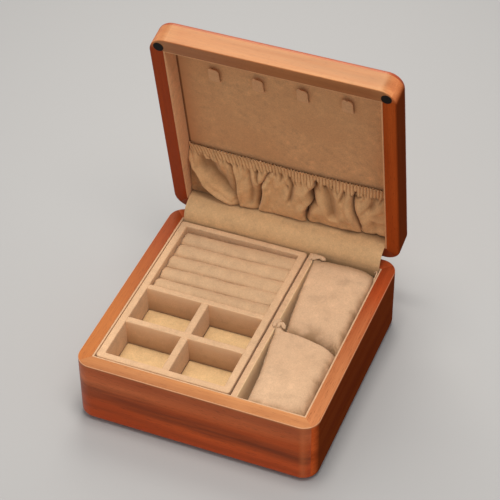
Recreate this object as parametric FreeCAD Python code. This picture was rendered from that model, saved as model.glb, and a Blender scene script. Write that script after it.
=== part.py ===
import FreeCAD, Part
import math
import os
from FreeCAD import Vector as V

# ---------------------------------------------------------------------------
# Wooden jewellery box: square base with a lift-out ring tray and two pillow
# cushions, and a hinged lid lined with suede.
# Frame: origin at the centre of the underside, +X right, +Y to the back
# (hinge side), +Z up. Millimetres. The lid stands open.
# ---------------------------------------------------------------------------

# outside
W = 250.0            # width, X
D = 250.0            # depth, Y
H = 74.5             # height of the base rim above the table
FELT = 1.0           # thickness of the felt under the base
WALL = 14.2          # thickness of the wooden sides
R_CORNER = 17.0      # radius of the upright corners
R_BOTTOM = 6.0       # rounding of the lower edge
R_RIM = 1.0          # rounding of the rim's outer edge
PANEL = 7.0          # bottom panel
TONGUE_IN = 5.2      # depth of the groove that holds the bottom panel
TONGUE_LO, TONGUE_HI = 3.5, 6.5

# lid
LID = 28.5           # height of the lid
LID_TOP = 6.2        # thickness of the lid's top board
R_TOP = 6.0          # rounding of the lid's upper edge
GAP = 0.8            # gap between the rims with the lid shut
OPEN = 79.0          # angle that the lid stands open
PIN_Y = D / 2 + 1.5  # hinge axis
PIN_Z = H + GAP / 2

# lining
LINE = 1.6           # suede-covered lining board
LINE_BACK = 0.8      # thin lining under the hinge flap
LINE_DOWN = 0.4      # lining edge below the rim
FLOOR_LINE = 1.6
LID_PANEL = 1.2

# hinges
HINGE_X = 72.0       # each hinge's distance from the middle
HINGE_W = 38.0
KNUCKLES = 5
KNUCKLE_R = 2.4
KNUCKLE_GAP = 0.3
PIN_R = 1.0
BORE_R = 1.05
LEAF_T = 1.0
LEAF_IN = 11.0       # leaf depth measured from the back face
RELIEF_R = 2.8
SCREW_R = 1.3
SCREW_HEAD_R = 2.5
SCREW_L = 9.0

# flap over the hinge
FLAP_RI = 16.6       # inner radius about the hinge axis
FLAP_RO = 18.2
FLAP_DOWN = 13.0     # how far it reaches down inside the base
FLAP_HALF = 108.7
FLAP_PUFF = 0.9      # padding over the lid's back wall

# tray
TRAY_X0, TRAY_X1 = -108.4, 31.9
TRAY_Y0, TRAY_Y1 = -106.6, 107.4
TRAY_Z0, TRAY_Z1 = 39.6, 73.6
TRAY_T = 7.2         # wall thickness
TRAY_TR = 8.2        # right wall
TRAY_TF = 6.8        # front wall
TRAY_FLOOR = 3.0
TRAY_DIV_TOP = 73.2
RING_DIV = (-0.8, 5.4)
MID_DIV = (-52.6, -45.4)
CROSS_DIV = (-41.6, -33.9)
R_SUEDE = 1.4        # softened edges of suede-covered boards

# ring rolls
ROLLS = 5
ROLL_CROWN = 70.6
ROLL_PAD = 3.0

# well with cushions
DIV_X0, DIV_X1 = 33.0, 40.0
DIV_TOP = 73.5
RISER_TOP = 22.6
CUSH_TOP = 74.0
CUSH_R = 8.0

# lid fittings
BUMPER_R = 5.3
BUMPER_X, BUMPER_Y = 114.8, -115.3
BUMPER_PROUD = 0.5
BUMPER_DEEP = 2.0
HOOK_X = (-69.0, -23.0, 23.0, 69.0)
HOOK_W = 12.0
HOOK_Y0, HOOK_Y1 = -80.5, -62.5
HOOK_T = 1.8
HOOK_STAND = 2.4     # space behind the hook's tongue

parts = {}


def box(x0, y0, z0, x1, y1, z1):
    return Part.makeBox(x1 - x0, y1 - y0, z1 - z0, V(x0, y0, z0))


def rounded_block(x0, y0, z0, x1, y1, z1, r, r_low=0.0, r_high=0.0):
    """Block with upright edges rounded by r, lower and upper edge loops by r_low and r_high."""
    b = box(x0, y0, z0, x1, y1, z1)
    up = [e for e in b.Edges if abs(e.Vertexes[0].X - e.Vertexes[1].X) < 1e-6 and abs(e.Vertexes[0].Y - e.Vertexes[1].Y) < 1e-6]
    b = b.makeFillet(r, up)
    for rr, z in ((r_low, z0), (r_high, z1)):
        if rr > 0:
            es = [e for e in b.Edges if all(abs(v.Z - z) < 1e-6 for v in e.Vertexes) and abs(e.BoundBox.ZMax - e.BoundBox.ZMin) < 1e-6]
            b = b.makeFillet(rr, es)
    return b


def extrude_yz(points, x0, x1):
    """Prism along X of a closed polygon given as (y, z)."""
    w = Part.makePolygon([V(x0, y, z) for y, z in points] + [V(x0, points[0][0], points[0][1])])
    return Part.Face(w).extrude(V(x1 - x0, 0, 0))


def extrude_xy(points, z0, z1):
    w = Part.makePolygon([V(x, y, z0) for x, y in points] + [V(points[0][0], points[0][1], z0)])
    return Part.Face(w).extrude(V(0, 0, z1 - z0))


def cyl_x(y, z, r, x0, x1):
    return Part.makeCylinder(r, x1 - x0, V(x0, y, z), V(1, 0, 0))


def opened(shape):
    """From the shut position to the open one."""
    s = shape.copy()
    s.rotate(V(0, PIN_Y, PIN_Z), V(1, 0, 0), -OPEN)
    return s


def mitre(ring, z0, z1):
    """Cuts a square ring into its four boards along the diagonals."""
    a = max(W, D)
    wedges = {
        "front": [(0, 0), (-a, -a), (a, -a)],
        "right": [(0, 0), (a, -a), (a, a)],
        "back": [(0, 0), (a, a), (-a, a)],
        "left": [(0, 0), (-a, a), (-a, -a)],
    }
    return {k: ring.common(extrude_xy(p, z0 - 1, z1 + 1)) for k, p in wedges.items()}


def soft_edges(shape, r, pick):
    es = [e for e in shape.Edges if pick(e)]
    return shape.makeFillet(r, es)


def flat_at(z):
    return lambda e: abs(e.BoundBox.ZMax - z) < 1e-6 and abs(e.BoundBox.ZMin - z) < 1e-6


hw, hd = W / 2, D / 2
ix, iy = hw - WALL, hd - WALL                 # inside faces of the wood
lx, ly = ix - LINE, iy - LINE                 # inside faces of the lining
rim = H + GAP                                 # lid rim with the lid shut

# --- hinge knuckles and leaves ---------------------------------------------
seg = HINGE_W / KNUCKLES


def knuckle_ranges(cx):
    out = []
    for i in range(KNUCKLES):
        a = cx - HINGE_W / 2 + i * seg + (0 if i == 0 else KNUCKLE_GAP / 2)
        b = cx - HINGE_W / 2 + (i + 1) * seg - (0 if i == KNUCKLES - 1 else KNUCKLE_GAP / 2)
        out.append((a, b))
    return out


def screw_spots(cx):
    return [(cx - 13.0, hd - 6.5), (cx, hd - 8.0), (cx + 13.0, hd - 6.5)]


def leaf(cx, of_lid):
    x0, x1 = cx - HINGE_W / 2, cx + HINGE_W / 2
    if of_lid:
        z0, z1 = rim, rim + LEAF_T
    else:
        z0, z1 = H - LEAF_T, H
    s = box(x0, hd - LEAF_IN, z0, x1, PIN_Y - 0.2, z1)
    mine = [r for i, r in enumerate(knuckle_ranges(cx)) if (i % 2 == 1) == of_lid]
    others = [r for i, r in enumerate(knuckle_ranges(cx)) if (i % 2 == 1) != of_lid]
    for a, b in mine:
        s = s.fuse(cyl_x(PIN_Y, PIN_Z, KNUCKLE_R, a, b))
    for a, b in others:
        s = s.cut(cyl_x(PIN_Y, PIN_Z, RELIEF_R, a - KNUCKLE_GAP, b + KNUCKLE_GAP).common(
            box(max(a - KNUCKLE_GAP, x0 - 1), 0, 0, min(b + KNUCKLE_GAP, x1 + 1), 300, 300)))
    s = s.cut(cyl_x(PIN_Y, PIN_Z, BORE_R if of_lid else PIN_R, x0 - 1, x1 + 1))
    for x, y in screw_spots(cx):
        if of_lid:
            s = s.cut(Part.makeCone(SCREW_HEAD_R, SCREW_R, LEAF_T, V(x, y, z0), V(0, 0, 1)))
        else:
            s = s.cut(Part.makeCone(SCREW_HEAD_R, SCREW_R, LEAF_T, V(x, y, z1), V(0, 0, -1)))
    return s.removeSplitter()


def screw(x, y, of_lid):
    if of_lid:
        head = Part.makeCone(SCREW_HEAD_R, SCREW_R, LEAF_T, V(x, y, rim), V(0, 0, 1))
        shank = Part.makeCylinder(SCREW_R, SCREW_L, V(x, y, rim + LEAF_T), V(0, 0, 1))
        slot = box(x - 3, y - 0.35, rim, x + 3, y + 0.35, rim + 0.5)
    else:
        head = Part.makeCone(SCREW_HEAD_R, SCREW_R, LEAF_T, V(x, y, H), V(0, 0, -1))
        shank = Part.makeCylinder(SCREW_R, SCREW_L, V(x, y, H - LEAF_T), V(0, 0, -1))
        slot = box(x - 3, y - 0.35, H - 0.5, x + 3, y + 0.35, H)
    return head.fuse(shank).removeSplitter().cut(slot)


def hinge_cuts(of_lid):
    """Mortises, knuckle relief and screw holes in the wood."""
    cuts = []
    for cx in (-HINGE_X, HINGE_X):
        x0, x1 = cx - HINGE_W / 2, cx + HINGE_W / 2
        if of_lid:
            cuts.append(box(x0, hd - LEAF_IN, rim - 1, x1, hd + 5, rim + LEAF_T))
        else:
            cuts.append(box(x0, hd - LEAF_IN, H - LEAF_T, x1, hd + 5, H + 1))
        cuts.append(cyl_x(PIN_Y, PIN_Z, RELIEF_R, x0, x1))
        for x, y in screw_spots(cx):
            if of_lid:
                cuts.append(Part.makeCylinder(SCREW_R, SCREW_L, V(x, y, rim + LEAF_T), V(0, 0, 1)))
            else:
                cuts.append(Part.makeCylinder(SCREW_R, SCREW_L, V(x, y, H - LEAF_T), V(0, 0, -1)))
    return cuts


# --- base: four mitred boards, bottom panel, felt ----------------------------
ring = rounded_block(-hw, -hd, FELT, hw, hd, H, R_CORNER, R_BOTTOM, R_RIM)
ring = ring.cut(box(-ix, -iy, 0, ix, iy, H + 1))
ring = ring.cut(box(-ix - TONGUE_IN, -iy - TONGUE_IN, TONGUE_LO, ix + TONGUE_IN, iy + TONGUE_IN, TONGUE_HI))
boards = mitre(ring, FELT, H)
for c in hinge_cuts(False):
    boards["back"] = boards["back"].cut(c)
for k, s in boards.items():
    parts["base_" + k] = s

panel_top = FELT + PANEL
parts["base_bottom"] = box(-ix, -iy, FELT, ix, iy, panel_top).fuse(
    box(-ix - TONGUE_IN, -iy - TONGUE_IN, TONGUE_LO, ix + TONGUE_IN, iy + TONGUE_IN, TONGUE_HI)).removeSplitter()
fx = hw - R_BOTTOM - 3.0
parts["base_felt"] = rounded_block(-fx, -fx, 0, fx, fx, FELT, 12.0)

# --- base lining --------------------------------------------------------------
top = H - LINE_DOWN
floor_top = panel_top + FLOOR_LINE
parts["floor_liner"] = box(-lx, -ly, panel_top, lx, iy - LINE_BACK, floor_top)
parts["lining_front"] = box(-ix, -iy, panel_top, ix, -ly, top)
parts["lining_back"] = box(-ix, iy - LINE_BACK, panel_top, ix, iy, top)
parts["lining_left"] = box(-ix, -ly, panel_top, -lx, iy - LINE_BACK, top)
parts["lining_right"] = box(lx, -ly, panel_top, ix, iy - LINE_BACK, top)

# --- inside the base: divider, ledges for the tray, riser under the cushions ---
back_in = PIN_Y - FLAP_RO                       # front of the hinge flap
divider = box(DIV_X0, -ly, floor_top, DIV_X1, back_in - 0.2, DIV_TOP)
divider = soft_edges(divider, R_SUEDE, lambda e: flat_at(DIV_TOP)(e) and e.Length > 50)
parts["well_divider"] = divider
parts["tray_ledge_left"] = box(-lx, -ly, floor_top, -lx + 6.2, back_in - 0.2, TRAY_Z0)
parts["tray_ledge_right"] = box(DIV_X0 - 6.2, -ly, floor_top, DIV_X0, back_in - 0.2, TRAY_Z0)
parts["well_riser"] = box(DIV_X1, -ly, floor_top, lx, back_in - 0.2, RISER_TOP)

# --- cushions -------------------------------------------------------------------
def cushion(corners, bowed, through):
    """Pillow of the given plan. The side that starts at corner number `bowed` curves through a point."""
    z = RISER_TOP
    sides = []
    for i, a in enumerate(corners):
        b = corners[(i + 1) % len(corners)]
        if i == bowed:
            sides.append(Part.Arc(V(a[0], a[1], z), V(through[0], through[1], z), V(b[0], b[1], z)).toShape())
        else:
            sides.append(Part.LineSegment(V(a[0], a[1], z), V(b[0], b[1], z)).toShape())
    b = Part.Face(Part.Wire(sides)).extrude(V(0, 0, CUSH_TOP - RISER_TOP))
    return b.makeFillet(CUSH_R, b.Edges)


# the two pillows are pressed together along a slanting, bowed line, and both
# leave a wedge-shaped gap beside the divider
parts["cushion_rear"] = cushion([(46.9, -4.4), (107.4, -12.8), (108.2, 106.4), (40.6, 106.4)], 0, (79.0, -6.6))
parts["cushion_front"] = cushion([(46.9, -108.2), (108.2, -108.2), (108.2, -17.4), (40.6, -6.8)], 2, (77.0, -9.9))

# --- tray ---------------------------------------------------------------------
tx0, tx1 = TRAY_X0 + TRAY_T, TRAY_X1 - TRAY_TR
ty0, ty1 = TRAY_Y0 + TRAY_TF, TRAY_Y1 - TRAY_T
tray_floor_top = TRAY_Z0 + TRAY_FLOOR
parts["tray_floor"] = box(TRAY_X0, TRAY_Y0, TRAY_Z0, TRAY_X1, TRAY_Y1, tray_floor_top)


def tray_wall(x0, y0, x1, y1, z1):
    """Upright suede-covered board with softened upper edges along its length."""
    b = box(x0, y0, tray_floor_top, x1, y1, z1)
    long_x = (x1 - x0) > (y1 - y0)
    def pick(e):
        if not flat_at(z1)(e):
            return False
        bb = e.BoundBox
        return (bb.XMax - bb.XMin > 1) == long_x
    return soft_edges(b, R_SUEDE, pick)


parts["tray_wall_left"] = tray_wall(TRAY_X0, TRAY_Y0, tx0, TRAY_Y1, TRAY_Z1)
parts["tray_wall_right"] = tray_wall(tx1, TRAY_Y0, TRAY_X1, TRAY_Y1, TRAY_Z1)
parts["tray_wall_front"] = tray_wall(tx0, TRAY_Y0, tx1, ty0, TRAY_Z1)
parts["tray_wall_back"] = tray_wall(tx0, ty1, tx1, TRAY_Y1, TRAY_Z1)
parts["tray_divider_rings"] = tray_wall(tx0, RING_DIV[0], tx1, RING_DIV[1], TRAY_DIV_TOP)
parts["tray_divider_middle"] = tray_wall(tx0, MID_DIV[0], tx1, MID_DIV[1], TRAY_DIV_TOP)
parts["tray_divider_cross_rear"] = tray_wall(CROSS_DIV[0], MID_DIV[1], CROSS_DIV[1], RING_DIV[0], TRAY_DIV_TOP)
parts["tray_divider_cross_front"] = tray_wall(CROSS_DIV[0], ty0, CROSS_DIV[1], MID_DIV[0], TRAY_DIV_TOP)

# --- ring rolls on their pad ---------------------------------------------------
rx0, rx1 = tx0 + 0.4, tx1 - 0.4
ry0, ry1 = RING_DIV[1] + 0.4, ty1 - 0.4
pad_top = tray_floor_top + ROLL_PAD
parts["ring_pad"] = box(rx0, ry0, tray_floor_top, rx1, ry1, pad_top)
pitch = (ry1 - ry0) / ROLLS
for i in range(ROLLS):
    yc = ry1 - (i + 0.5) * pitch
    r = pitch / 2 - 0.12
    zc = ROLL_CROWN - r
    prof = Part.Wire([
        Part.LineSegment(V(rx0, yc - r, pad_top), V(rx0, yc + r, pad_top)).toShape(),
        Part.LineSegment(V(rx0, yc + r, pad_top), V(rx0, yc + r, zc)).toShape(),
        Part.Arc(V(rx0, yc + r, zc), V(rx0, yc, zc + r), V(rx0, yc - r, zc)).toShape(),
        Part.LineSegment(V(rx0, yc - r, zc), V(rx0, yc - r, pad_top)).toShape(),
    ])
    parts["ring_roll_%d" % (i + 1)] = Part.Face(prof).extrude(V(rx1 - rx0, 0, 0))

# --- lid wood --------------------------------------------------------------------
lid_z1 = rim + LID
board_z1 = lid_z1 - LID_TOP
lid_ring = rounded_block(-hw, -hd, rim, hw, hd, board_z1, R_CORNER, R_RIM, 0)
lid_ring = lid_ring.cut(box(-ix, -iy, rim - 1, ix, iy, board_z1 + 1))
for sx in (-1, 1):
    lid_ring = lid_ring.cut(Part.makeCylinder(BUMPER_R, BUMPER_DEEP + 1, V(sx * BUMPER_X, BUMPER_Y, rim - 1)))
lid_boards = mitre(lid_ring, rim, board_z1)
for c in hinge_cuts(True):
    lid_boards["back"] = lid_boards["back"].cut(c)
for k, s in lid_boards.items():
    parts["lid_" + k] = opened(s)
parts["lid_top"] = opened(rounded_block(-hw, -hd, board_z1, hw, hd, lid_z1, R_CORNER, 0, R_TOP))

# --- lid lining -------------------------------------------------------------------
ll = rim + LINE_DOWN
panel_face = board_z1 - LID_PANEL
parts["lid_lining_front"] = opened(box(-ix, -iy, ll, ix, -ly, board_z1))
parts["lid_lining_back"] = opened(box(-ix, iy - LINE_BACK, ll, ix, iy, board_z1))
parts["lid_lining_left"] = opened(box(-ix, -ly, ll, -lx, iy - LINE_BACK, board_z1))
parts["lid_lining_right"] = opened(box(lx, -ly, ll, ix, iy - LINE_BACK, board_z1))
parts["lid_panel"] = opened(box(-lx, -ly, panel_face, lx, iy - LINE_BACK, board_z1))

# --- bumpers -----------------------------------------------------------------------
for name, sx in (("bumper_left", -1), ("bumper_right", 1)):
    b = Part.makeCylinder(BUMPER_R, BUMPER_DEEP + BUMPER_PROUD, V(sx * BUMPER_X, BUMPER_Y, rim - BUMPER_PROUD))
    low = [e for e in b.Edges if flat_at(rim - BUMPER_PROUD)(e)]
    parts[name] = opened(b.makeFillet(0.4, low))

# --- necklace hooks: a tongue that stands off the panel on a foot --------------------
for i, x in enumerate(HOOK_X):
    z1 = panel_face
    zt = z1 - HOOK_STAND
    tongue = box(x - HOOK_W / 2, HOOK_Y0 + HOOK_W / 2, zt - HOOK_T, x + HOOK_W / 2, HOOK_Y1, zt)
    tip = Part.makeCylinder(HOOK_W / 2, HOOK_T, V(x, HOOK_Y0 + HOOK_W / 2, zt - HOOK_T))
    foot = box(x - HOOK_W / 2, HOOK_Y1 - 5.0, zt - HOOK_T, x + HOOK_W / 2, HOOK_Y1, z1)
    parts["necklace_hook_%d" % (i + 1)] = opened(tongue.fuse(tip).fuse(foot).removeSplitter())

# --- elastic pocket on the lid panel ---------------------------------------------------
# it leaves the elastic close to the panel, bellies out low down, and turns under to its seam
pk_out = [(106.9, 20.8), (106.9, 9.4), (105.9, 5.4), (102.8, 4.0), (95.0, 4.3), (84.0, 5.9), (71.0, 8.4), (58.0, 11.9), (49.4, 13.5)]
pk_in = [(49.4, 15.1), (58.5, 13.5), (71.5, 9.9), (84.4, 7.4), (95.2, 5.8), (102.4, 5.5), (104.6, 6.4), (105.4, 9.6), (105.4, 20.8)]
parts["pocket"] = opened(extrude_yz([(y, rim + h) for y, h in pk_out + pk_in], -FLAP_HALF, FLAP_HALF))
el = box(-FLAP_HALF, 43.0, rim + 13.4, FLAP_HALF, 49.4, rim + 15.4)
parts["pocket_elastic"] = opened(soft_edges(el, 0.8, lambda e: e.Length > 50))

# --- padded flap over the hinge ---------------------------------------------------------
mid = (FLAP_RI + FLAP_RO) / 2


def flap_profile():
    """Closed outline in Y and Z: down inside the base, round the hinge axis, and over the lid's back wall."""
    a = math.radians(OPEN)
    c, s = math.cos(a), math.sin(a)
    def lid_pt(y, z):
        yy, zz = y - PIN_Y, z - PIN_Z
        return V(-FLAP_HALF, PIN_Y + yy * c + zz * s, PIN_Z - yy * s + zz * c)
    def arc_pt(r, deg):
        t = math.radians(180 - deg)
        return V(-FLAP_HALF, PIN_Y + r * math.cos(t), PIN_Z + r * math.sin(t))
    X = -FLAP_HALF
    ro, ri = FLAP_RO, FLAP_RI
    b0 = V(X, PIN_Y - ro, PIN_Z - FLAP_DOWN)
    b1 = V(X, PIN_Y - ro, PIN_Z)
    l1 = lid_pt(PIN_Y - ro, PIN_Z)
    hs = panel_face - 0.2
    l2 = lid_pt(PIN_Y - ro, PIN_Z + 2.0)
    lm = lid_pt(PIN_Y - ro - FLAP_PUFF, (PIN_Z + 2.0 + hs) / 2)
    l3 = lid_pt(PIN_Y - ro + 0.2, hs)
    l4 = lid_pt(PIN_Y - ri, hs)
    l5 = lid_pt(PIN_Y - ri, PIN_Z)
    b2 = V(X, PIN_Y - ri, PIN_Z)
    b3 = V(X, PIN_Y - ri, PIN_Z - FLAP_DOWN)
    es = [
        Part.LineSegment(b0, b1).toShape(),
        Part.Arc(b1, arc_pt(ro, OPEN / 2), l1).toShape(),
        Part.LineSegment(l1, l2).toShape(),
        Part.Arc(l2, lm, l3).toShape(),
        Part.LineSegment(l3, l4).toShape(),
        Part.LineSegment(l4, l5).toShape(),
        Part.Arc(l5, arc_pt(ri, OPEN / 2), b2).toShape(),
        Part.LineSegment(b2, b3).toShape(),
        Part.LineSegment(b3, b0).toShape(),
    ]
    return Part.Wire(es)


parts["hinge_flap"] = Part.Face(flap_profile()).extrude(V(2 * FLAP_HALF, 0, 0))

# --- hinges ------------------------------------------------------------------------------
for side, cx in (("left", -HINGE_X), ("right", HINGE_X)):
    parts["hinge_%s_base_leaf" % side] = leaf(cx, False)
    parts["hinge_%s_lid_leaf" % side] = opened(leaf(cx, True))
    pin = cyl_x(PIN_Y, PIN_Z, PIN_R, cx - HINGE_W / 2, cx + HINGE_W / 2)
    parts["hinge_pin_%s" % side] = pin
spots = screw_spots(-HINGE_X) + screw_spots(HINGE_X)
parts["hinge_screws_base"] = Part.makeCompound([screw(x, y, False) for x, y in spots])
parts["hinge_screws_lid"] = opened(Part.makeCompound([screw(x, y, True) for x, y in spots]))

# --- write ---------------------------------------------------------------------------------
os.makedirs("parts", exist_ok=True)
for name, s in sorted(parts.items()):
    solids = s.Solids
    if len(solids) == 1:
        s = solids[0]
    bb = s.BoundBox
    print("%-26s solids %d valid %s vol %9.1f  x %7.1f %7.1f  y %7.1f %7.1f  z %7.1f %7.1f" % (
        name, len(solids), s.isValid(), s.Volume, bb.XMin, bb.XMax, bb.YMin, bb.YMax, bb.ZMin, bb.ZMax))
    s.exportStep("parts/%s.step" % name)
print(len(parts), "nodes")
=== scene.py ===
import bpy
import math
import numpy as np
from mathutils import Matrix, Vector, noise


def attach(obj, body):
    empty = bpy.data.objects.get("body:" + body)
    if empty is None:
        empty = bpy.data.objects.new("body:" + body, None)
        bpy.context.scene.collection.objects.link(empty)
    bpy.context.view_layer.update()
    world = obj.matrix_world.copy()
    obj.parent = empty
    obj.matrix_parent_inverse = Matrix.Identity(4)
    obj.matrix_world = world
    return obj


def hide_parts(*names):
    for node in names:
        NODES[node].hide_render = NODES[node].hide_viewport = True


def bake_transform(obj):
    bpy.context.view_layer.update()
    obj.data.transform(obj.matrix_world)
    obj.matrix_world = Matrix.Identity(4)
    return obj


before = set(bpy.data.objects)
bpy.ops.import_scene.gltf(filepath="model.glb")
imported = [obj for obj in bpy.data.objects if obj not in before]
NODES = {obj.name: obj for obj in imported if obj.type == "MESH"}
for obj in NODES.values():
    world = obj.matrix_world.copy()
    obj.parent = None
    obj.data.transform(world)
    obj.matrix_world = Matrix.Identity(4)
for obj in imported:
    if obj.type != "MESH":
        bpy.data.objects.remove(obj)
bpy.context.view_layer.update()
MM = 0.001

# ----------------------------------------------------------------------------
# Dimensions of the box, in millimetres, in the row frame.
# ----------------------------------------------------------------------------
PIN_Y, PIN_Z = 126.5, 74.9
OPEN = math.radians(79.0)
CO, SO = math.cos(OPEN), math.sin(OPEN)
RIM = 75.3                      # lid rim plane when shut
H = 74.5                        # base rim
PANEL_H = 21.1                  # lid panel, depth below the lid rim plane
TX0, TX1, TY0, TY1 = -108.4, 31.9, -106.6, 107.4
TW = 7.2
TWR, TWF = 8.2, 6.8                         # right and front walls
TZ0, TZ1 = 42.6, 73.6


def opened(p):
    """Points with the lid shut -> the same points with the lid standing open."""
    p = np.asarray(p, float)
    y, z = p[..., 1] - PIN_Y, p[..., 2] - PIN_Z
    return np.stack([p[..., 0], PIN_Y + y * CO + z * SO, PIN_Z - y * SO + z * CO], -1)


def lid_point(x, y, h):
    """x, y as with the lid shut, h = depth into the lid from its rim plane."""
    return opened(np.stack([x, y, RIM + np.asarray(h, float)], -1))


# ----------------------------------------------------------------------------
# Camera, floor, lights
# ----------------------------------------------------------------------------
def make_camera():
    el, roll, az = 0.7309190315, -0.0096357528, 0.3879062533
    target = np.array([-56.638185, 165.249649, 0.0])
    dist, f = 1973.720314, 1804.011359
    back = np.array([math.sin(az) * math.cos(el), -math.cos(az) * math.cos(el), math.sin(el)])
    c = target + back * dist
    fwd = -back
    right = np.cross(fwd, [0, 0, 1.0])
    right /= np.linalg.norm(right)
    up = np.cross(right, fwd)
    r = math.cos(roll) * right + math.sin(roll) * up
    u = -math.sin(roll) * right + math.cos(roll) * up
    cam = bpy.data.cameras.new("camera")
    cam.lens_unit = "MILLIMETERS"
    cam.sensor_width = 36.0
    cam.lens = f / 500.0 * 36.0
    cam.clip_start, cam.clip_end = 0.05, 50.0
    o = bpy.data.objects.new("camera", cam)
    m = Matrix(((r[0], u[0], -fwd[0], c[0] * MM),
                (r[1], u[1], -fwd[1], c[1] * MM),
                (r[2], u[2], -fwd[2], c[2] * MM),
                (0, 0, 0, 1)))
    o.matrix_world = m
    bpy.context.scene.collection.objects.link(o)
    bpy.context.scene.camera = o


def area_light(name, loc, aim, sx, sy, power, color=(1, 1, 1)):
    l = bpy.data.lights.new(name, "AREA")
    l.shape = "RECTANGLE"
    l.size, l.size_y = sx, sy
    l.energy = power
    l.color = color
    o = bpy.data.objects.new(name, l)
    o.location = loc
    d = Vector(aim) - Vector(loc)
    o.rotation_mode = "QUATERNION"
    o.rotation_quaternion = d.to_track_quat("-Z", "Y")
    bpy.context.scene.collection.objects.link(o)
    return o


def make_stage():
    me = bpy.data.meshes.new("floor")
    s = 6.0
    me.from_pydata([(-s, -s, -0.0004), (s, -s, -0.0004), (s, s, -0.0004), (-s, s, -0.0004)], [], [(0, 1, 2, 3)])
    o = bpy.data.objects.new("floor", me)
    bpy.context.scene.collection.objects.link(o)
    m = bpy.data.materials.new("floor_paper")
    m.use_nodes = True
    b = m.node_tree.nodes["Principled BSDF"]
    b.inputs["Base Color"].default_value = (0.41, 0.405, 0.40, 1)
    b.inputs["Roughness"].default_value = 0.75
    b.inputs["Specular IOR Level"].default_value = 0.2
    me.materials.append(m)
    w = bpy.data.worlds.new("studio")
    w.use_nodes = True
    w.node_tree.nodes["Background"].inputs["Color"].default_value = (0.86, 0.87, 0.9, 1)
    w.node_tree.nodes["Background"].inputs["Strength"].default_value = 0.53
    bpy.context.scene.world = w
    area_light("key_top", (0.0, -0.05, 1.35), (-0.02, 0.0, 0.08), 0.34, 0.34, 8.5, (1.0, 0.965, 0.91))
    area_light("key_side", (0.30, -0.25, 1.25), (-0.02, 0.0, 0.08), 0.34, 0.34, 3.2, (1.0, 0.965, 0.91))
    area_light("sheen_back", (-0.27, 0.76, 1.12), (-0.03, 0.02, 0.1), 0.62, 0.80, 8.4, (1.0, 0.965, 0.90))
    area_light("fill_front", (0.05, -1.15, 1.22), (0.0, 0.05, 0.15), 0.7, 0.5, 1.4, (1.0, 0.965, 0.91))


make_camera()
make_stage()
sc = bpy.context.scene
sc.view_settings.view_transform = "Standard"
sc.view_settings.look = "None"
sc.view_settings.exposure = 0.0
sc.view_settings.gamma = 1.0


# ----------------------------------------------------------------------------
# Material helpers
# ----------------------------------------------------------------------------
def lin(r, g, b):
    f = lambda c: (c / 255 / 12.92) if c / 255 <= 0.04045 else ((c / 255 + 0.055) / 1.055) ** 2.4
    return (f(r), f(g), f(b), 1.0)


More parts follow.
